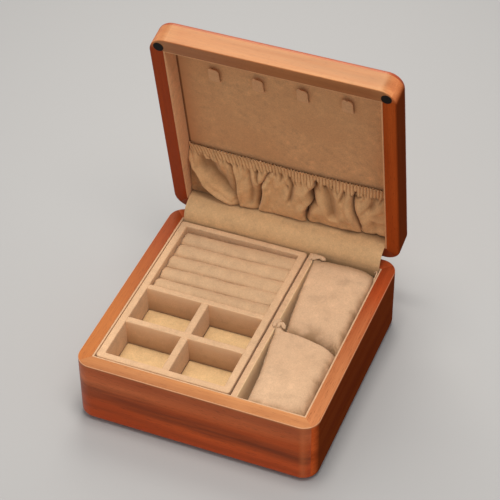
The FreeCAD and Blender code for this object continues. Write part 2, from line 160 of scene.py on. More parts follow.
class Tree:
    def __init__(self, name):
        self.mat = bpy.data.materials.new(name)
        self.mat.use_nodes = True
        self.nt = self.mat.node_tree
        self.bsdf = self.nt.nodes["Principled BSDF"]

    def node(self, kind, **props):
        n = self.nt.nodes.new(kind)
        for k, v in props.items():
            setattr(n, k, v)
        return n

    def link(self, a, b):
        self.nt.links.new(a, b)

    def coords(self):
        return self.node("ShaderNodeTexCoord").outputs["Object"]

    def mapping(self, src, loc=(0, 0, 0), rot=(0, 0, 0), scale=(1, 1, 1)):
        n = self.node("ShaderNodeMapping")
        n.inputs["Location"].default_value = loc
        n.inputs["Rotation"].default_value = rot
        n.inputs["Scale"].default_value = scale
        self.link(src, n.inputs["Vector"])
        return n.outputs["Vector"]

    def noise(self, vec, scale, detail=2.0, rough=0.5, dist=0.0, lac=2.0):
        n = self.node("ShaderNodeTexNoise")
        n.inputs["Scale"].default_value = scale
        n.inputs["Detail"].default_value = detail
        n.inputs["Roughness"].default_value = rough
        n.inputs["Lacunarity"].default_value = lac
        n.inputs["Distortion"].default_value = dist
        self.link(vec, n.inputs["Vector"])
        return n.outputs["Fac"]

    def ramp(self, fac, stops, interp="LINEAR"):
        n = self.node("ShaderNodeValToRGB")
        cr = n.color_ramp
        cr.interpolation = interp
        while len(cr.elements) < len(stops):
            cr.elements.new(0.5)
        for e, (pos, col) in zip(cr.elements, stops):
            e.position = pos
            e.color = col if len(col) == 4 else (*col, 1)
        self.link(fac, n.inputs["Fac"])
        return n.outputs["Color"]

    def mix(self, fac, a, b, mode="MIX"):
        n = self.node("ShaderNodeMix", data_type="RGBA", blend_type=mode)
        if isinstance(fac, (int, float)):
            n.inputs["Factor"].default_value = fac
        else:
            self.link(fac, n.inputs["Factor"])
        for sock, v in ((n.inputs["A"], a), (n.inputs["B"], b)):
            pass
        ins = [s for s in n.inputs if s.type == "RGBA"]
        for sock, v in zip(ins, (a, b)):
            if isinstance(v, tuple):
                sock.default_value = v
            else:
                self.link(v, sock)
        return [s for s in n.outputs if s.type == "RGBA"][0]

    def math(self, op, a, b=None, clamp=False):
        n = self.node("ShaderNodeMath", operation=op)
        n.use_clamp = clamp
        for i, v in enumerate((a, b)):
            if v is None:
                continue
            if isinstance(v, (int, float)):
                n.inputs[i].default_value = v
            else:
                self.link(v, n.inputs[i])
        return n.outputs[0]

    def remap(self, v, a, b, c, d):
        n = self.node("ShaderNodeMapRange")
        self.link(v, n.inputs["Value"])
        for k, x in zip(("From Min", "From Max", "To Min", "To Max"), (a, b, c, d)):
            n.inputs[k].default_value = x
        return n.outputs["Result"]

    def bump(self, height, dist, strength=1.0, normal=None):
        n = self.node("ShaderNodeBump")
        n.inputs["Strength"].default_value = strength
        n.inputs["Distance"].default_value = dist
        self.link(height, n.inputs["Height"])
        if normal is not None:
            self.link(normal, n.inputs["Normal"])
        return n.outputs["Normal"]

    def set(self, **kw):
        for k, v in kw.items():
            self.bsdf.inputs[k.replace("_", " ")].default_value = v

    def out(self, color=None, rough=None, normal=None):
        if color is not None:
            self.link(color, self.bsdf.inputs["Base Color"])
        if rough is not None:
            self.link(rough, self.bsdf.inputs["Roughness"])
        if normal is not None:
            self.link(normal, self.bsdf.inputs["Normal"])
        return self.mat


# ----------------------------------------------------------------------------
# Wood: reddish-brown stained hardwood under a satin lacquer. The grain runs
# along each board; lid boards take their place from the shut position.
# ----------------------------------------------------------------------------
def wood(name, along="X", lid=False, seed=0.0, streak=None, top=None, side=(158, 62, 27), gloss=0.55, coat=0.10, painted_light_x=(), edge_highlight=0.0, shift=None, across=False, ior=1.47, corner_light=()):
    """side = the stained colour of the upright faces; top = the painted sheen of the rim at the front and at the back,
    where there is one: the rim is painted lighter where it catches the light from above.
    """
    t = Tree(name)
    world = t.coords()
    co = world
    if lid:
        # R(79 deg) about the pin: p' = R p + (pin - R pin), in metres
        py, pz = PIN_Y * MM, PIN_Z * MM
        ly = py - (py * CO - pz * SO)
        lz = pz - (py * SO + pz * CO)
        co = t.mapping(co, loc=(0, ly, lz), rot=(OPEN, 0, 0))
    shut = co
    if along == "Y":
        co = t.mapping(co, rot=(0, 0, math.radians(90)))
    base = co
    co = t.mapping(co, loc=(seed * 0.37, seed * 0.21, seed * 0.13))
    # slow waver of the grain
    bend = t.noise(t.mapping(co, scale=(3.0, 9.0, 9.0)), 1.0, 2.0, 0.5)
    # growth bands: broad and soft across the board, long along it
    bands = t.noise(t.mapping(co, scale=(2.2, 52.0, 52.0)), 1.0, 3.0, 0.5, 0.35)
    lines = t.noise(t.mapping(co, loc=(0.7, 0.1, 0.3), scale=(6.5, 330.0, 330.0)), 1.0, 3.0, 0.55, 0.15)
    fibre = t.noise(t.mapping(co, scale=(38.0, 1500.0, 1500.0)), 1.0, 2.0, 0.6)
    pores = t.noise(t.mapping(co, loc=(0.2, 0.5, 0.1), scale=(130.0, 1500.0, 1500.0)), 1.0, 1.0, 0.5)
    cloud = t.noise(co, 16.0, 3.0, 0.55)

    # grained colour round a given one, used for the stained colour and for painted light and shade alike
    def stain_and_light(c):
        k = lambda r, g, b: lin(min(255, c[0] * r), min(255, c[1] * g), min(255, c[2] * b))
        light, mid, dark, red = k(1.09, 1.17, 1.22), k(1, 1, 1), k(0.86, 0.80, 0.78), k(1.05, 0.92, 0.80)
        q = t.ramp(bands, [(0.30, dark), (0.48, mid), (0.64, light), (0.82, mid)], "EASE")
        q = t.mix(t.remap(bend, 0.35, 0.7, 0.0, 0.40), q, red)
        q = t.mix(t.remap(lines, 0.38, 0.64, 0.30, 0.0), q, dark)
        q = t.mix(t.remap(cloud, 0.35, 0.75, 0.0, 0.25), q, light)
        return t.mix(t.remap(fibre, 0.35, 0.68, 0.22, 0.0), q, k(0.76, 0.66, 0.64))

    c = stain_and_light(side)
    if shift:
        # the board is paler towards one end of its upper half and redder along its foot
        sep = t.node("ShaderNodeSeparateXYZ")
        t.link(world, sep.inputs[0])
        z = t.math("ADD", sep.outputs["Z"], t.math("MULTIPLY", sep.outputs["X"], -0.05))
        z = t.math("ADD", z, t.math("MULTIPLY", bend, 0.02))
        c = t.mix(t.remap(z, 0.050, 0.068, 0.0, 0.85), c, stain_and_light(shift[0]))
        c = t.mix(t.remap(z, 0.040, 0.018, 0.0, 0.85), c, stain_and_light(shift[1]))
    for x0, x1, colour in painted_light_x:                # painted light and shade by X: a painted highlight towards the ends, where the rounded corners catch the light, and painted shade on the outer face turned from the light
        sep = t.node("ShaderNodeSeparateXYZ")
        t.link(world, sep.inputs[0])
        c = t.mix(t.remap(sep.outputs["X"], x0 * MM, x1 * MM, 0.0, 1.0), c, stain_and_light(colour))
    for y0, y1, colour in corner_light:
        # painted light: towards the mitre the colour passes into the neighbouring board's, with painted highlights on
        # the rounded front corners and a soft step from a shaded side into a lit board
        sep = t.node("ShaderNodeSeparateXYZ")
        t.link(shut, sep.inputs[0])
        c = t.mix(t.remap(sep.outputs["Y"], y0 * MM, y1 * MM, 0.0, 1.0), c, stain_and_light(colour))
    # painted sheen: the rim top is painted lighter and paler where it catches the light from above
    if top:
        sep = t.node("ShaderNodeSeparateXYZ")
        t.link(world, sep.inputs[0])
        up = t.remap(sep.outputs["Z"], 0.0716, 0.0742, 0.0, 1.0)
        if across:                              # this board's painted rim sheen changes from left to right
            run = t.remap(t.math("ADD", sep.outputs["X"], t.math("MULTIPLY", cloud, 0.05)), -0.09, 0.125, 0.0, 1.0)
        else:
            run = t.remap(t.math("ADD", sep.outputs["Y"], t.math("MULTIPLY", cloud, 0.06)), -0.02, 0.115, 0.0, 1.0)
        c = t.mix(up, c, t.mix(run, stain_and_light(top[0]), stain_and_light(top[1])))
    c = t.mix(t.remap(pores, 0.62, 0.74, 0.0, 0.42), c, lin(78, 34, 20))
    if streak:
        # a darker streak of heartwood that drifts across the board as it runs along
        sep = t.node("ShaderNodeSeparateXYZ")
        t.link(base, sep.inputs[0])
        wob = t.noise(t.mapping(base, scale=(7.0, 18.0, 22.0)), 1.0, 2.0, 0.5)
        for z0, slope, half, amount in streak:
            line = t.math("MULTIPLY", sep.outputs["X"], slope)
            d = t.math("SUBTRACT", t.math("SUBTRACT", sep.outputs["Z"], z0), line)
            d = t.math("ADD", d, t.math("MULTIPLY", t.math("SUBTRACT", wob, 0.5), 0.022))
            a = t.remap(t.math("ABSOLUTE", d), half * 0.15, half, amount, 0.0)
            fr = t.remap(t.noise(t.mapping(base, loc=(z0, 0, 0.3), scale=(9.0, 240.0, 260.0)), 1.0, 3.0, 0.6), 0.30, 0.6, 0.35, 1.0)
            c = t.mix(t.math("MULTIPLY", a, fr), c, lin(98, 38, 20))
    if edge_highlight:
        # painted highlight: the rounded rim edges are painted lighter, where a satin finish catches the light
        g = t.node("ShaderNodeNewGeometry")
        sn = t.node("ShaderNodeSeparateXYZ")
        t.link(g.outputs["Normal"], sn.inputs[0])
        e = t.math("MULTIPLY", t.remap(sn.outputs["Z"], 0.12, 0.50, 0.0, 1.0), t.remap(sn.outputs["Z"], 0.80, 0.96, 1.0, 0.0))
        e = t.math("MULTIPLY", e, t.remap(fibre, 0.3, 0.6, 0.75, 1.0))
        c = t.mix(t.math("MULTIPLY", e, edge_highlight), c, lin(236, 178, 138))
        # painted highlight: a lighter band on the rounded upright corners
        k = t.math("MULTIPLY", t.remap(sn.outputs["X"], 0.06, 0.26, 0.0, 1.0), t.remap(sn.outputs["X"], 0.34, 0.62, 1.0, 0.0))
        k = t.math("MULTIPLY", k, t.remap(sn.outputs["Z"], 0.2, 0.4, 1.0, 0.0))
        c = t.mix(t.math("MULTIPLY", k, edge_highlight * 0.36), c, lin(222, 128, 78))
    rough = t.remap(lines, 0.3, 0.7, 0.36, 0.46)
    bmp = t.bump(fibre, 0.00006, 0.35)
    bmp = t.bump(t.remap(pores, 0.6, 0.75, 1.0, 0.0), 0.00008, 0.3, bmp)
    t.set(IOR=ior, Coat_Weight=coat, Coat_Roughness=0.22, Coat_IOR=1.42, Specular_Tint=(1.0, 0.95, 0.48, 1.0))
    t.bsdf.inputs["Specular IOR Level"].default_value = gloss
    return t.out(c, rough, bmp)


# ----------------------------------------------------------------------------
# Suede: short napped microfibre. Fine fibre noise, brushed lighter and darker
# patches, and a soft sheen.
# ----------------------------------------------------------------------------
def suede(name, col, patch=0.06, patch_scale=120.0, sheen=0.6, seed=0.0, nap=0.16, bump=0.00030, broad=0.5, crease_shade=None, lit=None, front=None, wall_light_shade=None):
    t = Tree(name)
    co = t.mapping(t.coords(), loc=(seed, seed * 0.7, seed * 0.3))
    grain = t.noise(co, 1900.0, 3.0, 0.65)
    clump = t.noise(co, 620.0, 3.0, 0.62)
    brush = t.noise(co, patch_scale, 5.0, 0.62)
    wide = t.noise(co, patch_scale * 0.22, 2.0, 0.5, 0.1)
    r, g, b = col
    k = lambda m: lin(min(255, r * m), min(255, g * m), min(255, b * m))
    c = t.ramp(brush, [(0.30, k(1 - patch * 1.25)), (0.5, k(1.0)), (0.70, k(1 + patch))], "EASE")
    c = t.mix(t.remap(wide, 0.35, 0.7, 0.0, broad), c, lin(r * (1 - patch * 0.4), g * (1 - patch * 0.75), b * (1 - patch)))
    c = t.mix(t.remap(clump, 0.32, 0.68, nap * 1.7, 0.0), c, k(0.66))
    c = t.mix(t.remap(grain, 0.3, 0.7, 0.0, nap * 1.2), c, k(1.26))
    if crease_shade:                                  # painted shade: creases and shaded places are painted darker, by a point attribute
        a = t.node("ShaderNodeAttribute", attribute_name="crease_shade")
        c = t.mix(t.remap(a.outputs["Fac"], 0.05, 1.0, 0.0, 1.0), c, lin(*crease_shade))
    for x0, x1, col2 in (lit or ()):            # painted light and shade: strips along X painted lighter where a face catches the light, or darker where a shadow falls
        sep = t.node("ShaderNodeSeparateXYZ")
        t.link(t.coords(), sep.inputs[0])
        c = t.mix(t.remap(sep.outputs["X"], x0 * MM, x1 * MM, 0.0, 1.0), c, lin(*col2))
    if front:                                   # painted shade: the part towards -Y is painted another, darker colour
        sep = t.node("ShaderNodeSeparateXYZ")
        t.link(t.coords(), sep.inputs[0])
        c = t.mix(t.remap(sep.outputs["Y"], front[0] * MM, front[1] * MM, 1.0, 0.0), c, lin(*front[2]))
    if wall_light_shade:                                   # painted light and shade on walls facing -Y: painted lighter along the top, painted shade towards the foot
        nor = t.node("ShaderNodeSeparateXYZ")
        t.link(t.node("ShaderNodeNewGeometry").outputs["Normal"], nor.inputs[0])
        pos = t.node("ShaderNodeSeparateXYZ")
        t.link(t.coords(), pos.inputs[0])
        face = t.math("MULTIPLY", t.remap(nor.outputs["Y"], -0.5, -0.9, 0.0, 1.0), t.remap(pos.outputs["Y"], 0.02, 0.05, 1.0, 0.0))
        c = t.mix(t.math("MULTIPLY", face, t.remap(pos.outputs["Z"], 0.056, 0.043, 0.0, 0.9)), c, lin(*wall_light_shade[0]))
        c = t.mix(t.math("MULTIPLY", face, t.remap(pos.outputs["Z"], 0.054, 0.071, 0.0, 0.9)), c, lin(*wall_light_shade[1]))
    h = t.math("ADD", t.math("MULTIPLY", grain, 0.5), clump)
    bmp = t.bump(h, bump, 0.6)
    t.set(Roughness=0.92, Sheen_Weight=sheen, Sheen_Roughness=0.35, Sheen_Tint=lin(255, 226, 194))
    t.bsdf.inputs["Specular IOR Level"].default_value = 0.10
    return t.out(c, None, bmp)


def plain(name, col, rough, metal=0.0, scale=900.0, vary=0.12, bump=0.00005, spec=0.5, stretch=(1, 1, 1), aniso=0.0):
    t = Tree(name)
    co = t.mapping(t.coords(), scale=stretch)
    n = t.noise(co, scale, 3.0, 0.6)
    m = t.noise(co, scale * 0.12, 3.0, 0.6)
    r, g, b = col
    c = t.ramp(m, [(0.3, lin(r * (1 - vary), g * (1 - vary), b * (1 - vary))), (0.7, lin(min(255, r * (1 + vary)), min(255, g * (1 + vary)), min(255, b * (1 + vary))))])
    ro = t.remap(n, 0.25, 0.75, max(0.05, rough - 0.10), min(1.0, rough + 0.12))
    bmp = t.bump(n, bump, 0.5)
    t.set(Metallic=metal)
    t.bsdf.inputs["Specular IOR Level"].default_value = spec
    return t.out(c, ro, bmp)


M = {}
# painted sheen: rim-top colours, lighter where the rim catches the light from above
RIM_SHEEN_TOP = ((188, 116, 70), (186, 84, 40))
SIDE = (158, 60, 24)
M["wood_front"] = wood("wood_front", "X", seed=1.3, top=((178, 110, 62), (208, 140, 88)), across=True, side=(186, 73, 27), gloss=0.26, coat=0.03, edge_highlight=0.8, shift=((208, 108, 62), (202, 78, 30)), streak=[(0.0385, -0.045, 0.013, 0.66), (0.031, -0.01, 0.006, 0.45), (0.014, -0.02, 0.005, 0.25)])
M["wood_back"] = wood("wood_back", "X", seed=2.9, top=RIM_SHEEN_TOP, side=SIDE, edge_highlight=0.5, streak=[(0.052, 0.03, 0.007, 0.4)])
M["wood_left"] = wood("wood_left", "Y", seed=4.1, top=((178, 104, 52), (148, 62, 25)), side=SIDE, gloss=0.16, coat=0.02, edge_highlight=0.75)
# painted shade: the right board's upright face is painted darker, as the side turned from the light
M["wood_right"] = wood("wood_right", "Y", seed=5.7, top=((186, 118, 75), (168, 74, 37)), side=(114, 49, 20), gloss=0.02, coat=0.0, edge_highlight=0.45, streak=[(0.030, 0.03, 0.008, 0.4)], ior=1.03, corner_light=((-110.5, -118.5, (208, 92, 42)), (112.0, 121.5, SIDE)))
# painted sheen: the lid's front board is painted paler and browner, as it faces up into the light when open; its ends
# carry painted highlights
M["wood_lid_front"] = wood("wood_lid_front", "X", lid=True, seed=6.4, side=(158, 92, 54), gloss=0.6, painted_light_x=((98.0, 112.0, (165, 102, 62)), (112.0, 121.0, (206, 124, 74)), (-96.0, -110.0, (163, 102, 62)), (-112.0, -120.5, (188, 116, 70))))
M["wood_lid_back"] = wood("wood_lid_back", "X", lid=True, seed=7.7, side=(150, 60, 28))
# painted highlight on the lid's rounded left front corner
M["wood_lid_left"] = wood("wood_lid_left", "Y", lid=True, seed=8.2, side=(159, 62, 21), gloss=0.10, coat=0.01, corner_light=((-111.5, -118.0, (188, 110, 66)),))
# painted shade on the lid's outer right face; a painted highlight on its front corner
M["wood_lid_right"] = wood("wood_lid_right", "Y", lid=True, seed=9.6, side=(184, 86, 36), gloss=0.02, coat=0.0, painted_light_x=((122.6, 124.9, (114, 49, 20)),), ior=1.03, corner_light=((-111.5, -118.0, (196, 118, 72)), (112.0, 121.5, (150, 60, 28))))
M["wood_lid_top"] = wood("wood_lid_top", "X", lid=True, seed=11.3, side=(152, 60, 28))
M["board"] = wood("wood_inner_board", "X", seed=12.5, side=SIDE)
SUEDE = (207, 167, 131)
M["suede"] = suede("suede_boards", SUEDE, seed=0.0)
M["suede_lid"] = suede("suede_lid_walls", (225, 164, 117), seed=0.9)
# painted light and shade on the tray walls facing -Y
M["suede_tray"] = suede("suede_tray", (210, 171, 134), seed=0.4, sheen=0.5, wall_light_shade=((178, 142, 108), (246, 204, 160)))
# painted shade: the sheet under the floor cards is painted dark towards -Y, so the gaps round the cards read as shadow
M["suede_under"] = suede("suede_under_cards", (177, 139, 104), seed=2.6, sheen=0.3, front=(0.6, 1.2, (96, 58, 32)))
# painted shade along the foot of the compartment walls
M["suede_floor"] = suede("suede_tray_floor", (224, 186, 137), seed=1.7, crease_shade=(116, 84, 54))
# painted shadow along the panel's left edge, cast by the lining wall, with a dark contact line at the edge
M["suede_panel"] = suede("suede_lid_panel", (217, 164, 117), patch=0.085, patch_scale=130.0, seed=1.1, sheen=0.4, nap=0.19, broad=0.9, lit=((-90.0, -107.0, (201, 149, 105)), (-106.6, -107.6, (126, 84, 53))))
M["suede_hook"] = suede("suede_hooks", (219, 166, 121), seed=1.4, sheen=0.5)
M["suede_roll"] = suede("suede_rolls", (199, 164, 128), patch=0.055, patch_scale=90.0, seed=2.3)
# painted shade in the creases, hollows and undersides of the cushions, pocket and flap
M["suede_cushion"] = suede("suede_cushions", (207, 170, 136), patch=0.070, patch_scale=70.0, seed=3.1, crease_shade=(128, 96, 60))
M["suede_pocket"] = suede("suede_pocket", (223, 174, 125), patch=0.07, seed=4.7, sheen=0.6, crease_shade=(90, 50, 22))
M["suede_flap"] = suede("suede_flap", (213, 171, 125), patch=0.06, seed=5.9, crease_shade=(88, 52, 26))
# painted light on the divider's face towards the cushions
M["suede_divider"] = suede("suede_divider", SUEDE, seed=6.3, lit=((39.0, 39.9, (250, 216, 168)),))
M["felt"] = plain("felt_under", (58, 40, 30), 0.95, scale=1500.0, vary=0.2, bump=0.0003, spec=0.1)
M["rubber"] = plain("rubber_bumpers", (13, 12, 12), 0.62, scale=1400.0, vary=0.2, bump=0.00004, spec=0.18)
M["brass"] = plain("brass_hinges", (190, 146, 74), 0.30, metal=1.0, scale=1200.0, vary=0.08, bump=0.00002)
M["steel"] = plain("steel_screws", (176, 168, 150), 0.34, metal=1.0, scale=1200.0, vary=0.08, bump=0.00002)


def paint(node, key):
    me = NODES[node].data
    me.materials.clear()
    me.materials.append(M[key])


for side in ("front", "back", "left", "right"):
    paint("base_" + side, "wood_" + side)
    paint("lid_" + side, "wood_lid_" + side)
    paint("lining_" + side, "suede")
    paint("lid_lining_" + side, "suede_lid")
paint("lid_top", "wood_lid_top")
paint("base_bottom", "board")
paint("base_felt", "felt")
paint("floor_liner", "suede")
paint("lid_panel", "suede_panel")
for n in ("well_divider", "well_riser", "tray_ledge_left", "tray_ledge_right"):
    paint(n, "suede")
paint("tray_floor", "suede_under")
paint("ring_pad", "suede_roll")
for n in ("bumper_left", "bumper_right"):
    paint(n, "rubber")
for s in ("left", "right"):
    paint("hinge_%s_base_leaf" % s, "brass")
    paint("hinge_%s_lid_leaf" % s, "brass")
    paint("hinge_pin_" + s, "brass")
paint("hinge_screws_base", "steel")
paint("hinge_screws_lid", "steel")


# ----------------------------------------------------------------------------
# Mesh helpers (millimetres in, metres out)
# ----------------------------------------------------------------------------
def new_object(name, verts, faces, mat, body=None, replaces=(), smooth=True, shade=None):
    me = bpy.data.meshes.new(name)
    me.from_pydata([tuple(map(float, v * MM)) for v in np.asarray(verts, float)], [], [tuple(f) for f in faces])
    me.validate(verbose=False)
    if smooth:
        me.polygons.foreach_set("use_smooth", [True] * len(me.polygons))
    if shade is not None:                       # painted shade: how far each point lies in a crease or shaded place, painted darker
        a = me.attributes.new("crease_shade", "FLOAT", "POINT")
        a.data.foreach_set("value", np.clip(shade, 0, 1).astype(np.float32))
    me.materials.append(M[mat])
    o = bpy.data.objects.new(name, me)
    bpy.context.scene.collection.objects.link(o)
    if body:
        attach(o, body)
    if replaces:
        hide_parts(*replaces)
    return o


def apply_modifiers(o):
    bpy.context.view_layer.update()
    dg = bpy.context.evaluated_depsgraph_get()
    me = bpy.data.meshes.new_from_object(o.evaluated_get(dg))
    old = o.data
    o.modifiers.clear()
    o.data = me
    me.name = o.name
    if old.users == 0:
        bpy.data.meshes.remove(old)
    me.polygons.foreach_set("use_smooth", [True] * len(me.polygons))
    return o


def grid_faces(nu, nv, closed_u=False, closed_v=False, start=0, flip=False):
    """Faces of a grid of nu by nv points, numbered v + nv * u."""
    out = []
    for i in range(nu if closed_u else nu - 1):
        for j in range(nv if closed_v else nv - 1):
            a = start + (i % nu) * nv + (j % nv)
            b = start + ((i + 1) % nu) * nv + (j % nv)
            c = start + ((i + 1) % nu) * nv + ((j + 1) % nv)
            d = start + (i % nu) * nv + ((j + 1) % nv)
            out.append((a, d, c, b) if flip else (a, b, c, d))
    return out


def fbm(p, scale, seed=0.0, octaves=3):
    """Smooth noise about 0 at each point (mm)."""
    out = np.empty(len(p))
    for i, q in enumerate(p):
        v, a, s = 0.0, 1.0, scale
        for k in range(octaves):
            v += a * noise.noise((q[0] * s + seed, q[1] * s + seed * 1.7, q[2] * s - seed * 0.6))
            a *= 0.5
            s *= 2.03
        out[i] = v
    return out


def smooth(x, a, b):
    t = np.clip((x - a) / (b - a), 0, 1)
    return t * t * (3 - 2 * t)


def interp(x, xs, ys):
    return np.interp(x, xs, ys)


def rect_loop(x0, y0, x1, y1, r, nx, ny, nc):
    """Rounded rectangle, counter-clockwise, always 2*nx + 2*ny + 4*nc points."""
    r = max(r, 0.05)
    pts = []
    def seg(a, b, n):
        for i in range(n):
            k = i / n
            pts.append((a[0] + (b[0] - a[0]) * k, a[1] + (b[1] - a[1]) * k))
    def arc(cx, cy, a0, n):
        for i in range(n):
            t = math.radians(a0 + 90.0 * i / n)
            pts.append((cx + r * math.cos(t), cy + r * math.sin(t)))
    seg((x0 + r, y0), (x1 - r, y0), nx)
    arc(x1 - r, y0 + r, -90, nc)
    seg((x1, y0 + r), (x1, y1 - r), ny)
    arc(x1 - r, y1 - r, 0, nc)
    seg((x1 - r, y1), (x0 + r, y1), nx)
    arc(x0 + r, y1 - r, 90, nc)
    seg((x0, y1 - r), (x0, y0 + r), ny)
    arc(x0 + r, y0 + r, 180, nc)
    return np.array(pts)


# ----------------------------------------------------------------------------
# Tray frame: suede wrapped over the four outer boards, one continuous skin
# ----------------------------------------------------------------------------
def make_tray_frame():
    ro = 3.2
    rt = 1.2                                    # rounding of the top edges
    prof = [(0.0, TZ0 - 2.6), (0.0, TZ0 - 2.3), (0.0, 50.0), (0.0, 58.0), (0.0, 66.0)]
    for k in range(7):
        a = math.radians(90 * k / 6)
        prof.append((rt - rt * math.cos(a), TZ1 - rt + rt * math.sin(a) - 0.08))
    prof.append((TW * 0.5, TZ1))
    for k in range(7):
        a = math.radians(90 - 90 * k / 6)
        prof.append((TW - rt + rt * math.cos(a), TZ1 - rt + rt * math.sin(a) - 0.08))
    prof += [(TW, 66.0), (TW, 58.0), (TW, 50.0), (TW, TZ0 + 0.25), (TW, TZ0)]
    loops = []
    for d, z in prof:
        g = 0.45 * min(1.0, max(0.0, (z - 52) / 8)) * (1.0 if d < TW / 2 else 0.0)      # the fabric fills out the outer faces
        l = rect_loop(TX0 + d - g, TY0 + d * TWF / TW - g, TX1 - d * TWR / TW - g * 0.8, TY1 - d - g * 0.9, max(ro - d, 0.7), 48, 72, 5)
        loops.append(np.column_stack([l, np.full(len(l), z)]))
    v = np.concatenate(loops)
    n = len(loops[0])
    f = grid_faces(len(loops), n, closed_v=True, flip=True)
    last = (len(loops) - 1) * n
    for j in range(n):                          # closes the underside
        a, b = last + j, last + (j + 1) % n
        f.append((a, (j + 1) % n, j, b)[::-1] if False else (b, a, j, (j + 1) % n))
    # fabric waver: the skin isn't perfectly flat
    w = fbm(v, 0.045, 3.1) * 0.22 + fbm(v, 0.25, 8.0, 2) * 0.05
    cx, cy = (TX0 + TX1) / 2, (TY0 + TY1) / 2
    top = np.clip((v[:, 2] - 60) / 12, 0, 1)
    v[:, 2] += w * top * 0.8 - 0.12 * top
    return new_object("tray_frame_suede", v, f, "suede_tray", "tray",
                      ("tray_wall_left", "tray_wall_right", "tray_wall_front", "tray_wall_back"))


def soft_board(name, x0, y0, x1, y1, z0, z1, r, mat, body, replaces, seed=0.0, wave=0.2, ends=0.0):
    """A board wrapped in suede, long in X or Y, with rounded upper edges."""
    long_x = (x1 - x0) > (y1 - y0)
    w = (y1 - y0) if long_x else (x1 - x0)
    length = (x1 - x0) if long_x else (y1 - y0)
    sec = [(-w / 2, z0), (-w / 2, z0 + 0.25), (-w / 2, z0 + (z1 - z0) * 0.35), (-w / 2, z0 + (z1 - z0) * 0.7)]
    for k in range(7):
        a = math.radians(90 * k / 6)
        sec.append((-w / 2 + r - r * math.cos(a), z1 - r + r * math.sin(a)))
    sec.append((0, z1 + 0.06))
    for k in range(7):
        a = math.radians(90 - 90 * k / 6)
        sec.append((w / 2 - r + r * math.cos(a), z1 - r + r * math.sin(a)))
    sec += [(w / 2, z0 + (z1 - z0) * 0.7), (w / 2, z0 + (z1 - z0) * 0.35), (w / 2, z0 + 0.25), (w / 2, z0)]
    sec = np.array(sec)
    n = max(8, int(length / 3.0))
    st = np.concatenate([[0.0, 0.2], np.linspace(0, length, n + 1)[1:-1], [length - 0.2, length]])
    n = len(st) - 1
    rows = []
    for s in st:
        q = sec.copy()
        e = min(s, length - s)
        if ends > 0 and e < ends:               # ends sink a little where they meet the next board
            q[:, 1] -= np.where(q[:, 1] > z0 + 5, 0.5 * (1 - e / ends) ** 2, 0)
        rows.append(q)
    pts = []
    for s, q in zip(st, rows):
        for c, z in q:
            pts.append((x0 + s, (y0 + y1) / 2 + c, z) if long_x else ((x0 + x1) / 2 + c, y0 + s, z))
    v = np.array(pts)
    m = len(sec)
    f = grid_faces(n + 1, m, closed_v=True, flip=not long_x)
    a0 = list(range(m))
    a1 = [n * m + j for j in range(m)]
    f.append(tuple(a0) if long_x else tuple(reversed(a0)))
    f.append(tuple(reversed(a1)) if long_x else tuple(a1))
    g = fbm(v, 0.05, seed) * wave
    k = np.clip((v[:, 2] - z0) / (z1 - z0) * 1.4 - 0.3, 0, 1)
    v[:, 2] += g * k * 0.8 - 0.1 * k
    v[:, 1 if long_x else 0] += fbm(v, 0.04, seed + 5) * wave * 0.7 * k
    return new_object(name, v, f, mat, body, replaces)


make_tray_frame()
soft_board("tray_divider_rings_suede", TX0 + TW - 0.3, -0.8, TX1 - TWR + 0.3, 5.4, TZ0, 73.2, 1.4, "suede_tray", "tray", ("tray_divider_rings",), 1.0, ends=6)
soft_board("tray_divider_middle_suede", TX0 + TW - 0.3, -52.6, TX1 - TWR + 0.3, -45.4, TZ0, 73.2, 1.3, "suede_tray", "tray", ("tray_divider_middle",), 2.0, ends=6)
soft_board("tray_divider_cross_rear_suede", -41.6, -45.7, -33.9, -0.5, TZ0, 73.1, 1.3, "suede_tray", "tray", ("tray_divider_cross_rear",), 3.0, ends=5)
soft_board("tray_divider_cross_front_suede", -41.6, TY0 + TWF - 0.3, -33.9, -52.3, TZ0, 73.1, 1.3, "suede_tray", "tray", ("tray_divider_cross_front",), 4.0, ends=5)


def floor_card(name, x0, y0, x1, y1, seed):
    """Suede-covered card pressed into the foot of a compartment, a hair smaller than it."""
    prof = [(0.0, TZ0 - 0.1), (0.0, TZ0 + 0.45), (0.12, TZ0 + 0.72), (0.40, TZ0 + 0.88), (1.0, TZ0 + 0.93), (3.0, TZ0 + 0.95), (8.0, TZ0 + 0.95), (14.0, TZ0 + 0.95), (20.0, TZ0 + 0.95)]
    loops = []
    for d, z in prof:
        l = rect_loop(x0 + d, y0 + d, x1 - d, y1 - d, max(1.2 - d, 0.2), 20, 16, 4)
        loops.append(np.column_stack([l, np.full(len(l), z)]))
    v = np.concatenate(loops)
    n = len(loops[0])
    f = grid_faces(len(loops), n, closed_v=True, flip=True)
    f.append(tuple((len(loops) - 1) * n + j for j in range(n)))
    top = np.clip((v[:, 2] - TZ0) / 0.9, 0, 1)
    v[:, 2] += top * fbm(v, 0.05, seed, 2) * 0.18
    foot = np.repeat([0.7, 0.7, 0.7, 0.6, 0.42, 0.22, 0.08, 0.0, 0.0], n)       # painted shade along the foot of the walls
    return new_object(name, v, f, "suede_floor", "tray", (), shade=foot)


FC = 0.55
XS = ((TX0 + TW, -41.6), (-33.9, TX1 - TWR))
YS = ((TY0 + TWF, -52.6), (-45.4, -0.8))
for i, (xa, xb) in enumerate(XS):
    for j, (ya, yb) in enumerate(YS):
        floor_card("compartment_card_%d" % (2 * j + i + 1), xa + FC, ya + FC, xb - FC, yb - FC, 60.0 + 3 * i + 7 * j)
soft_board("well_divider_suede", 33.5, -109.0, 40.0, 108.1, 9.6, 73.5, 1.5, "suede_divider", "base", ("well_divider",), 5.0, wave=0.25)


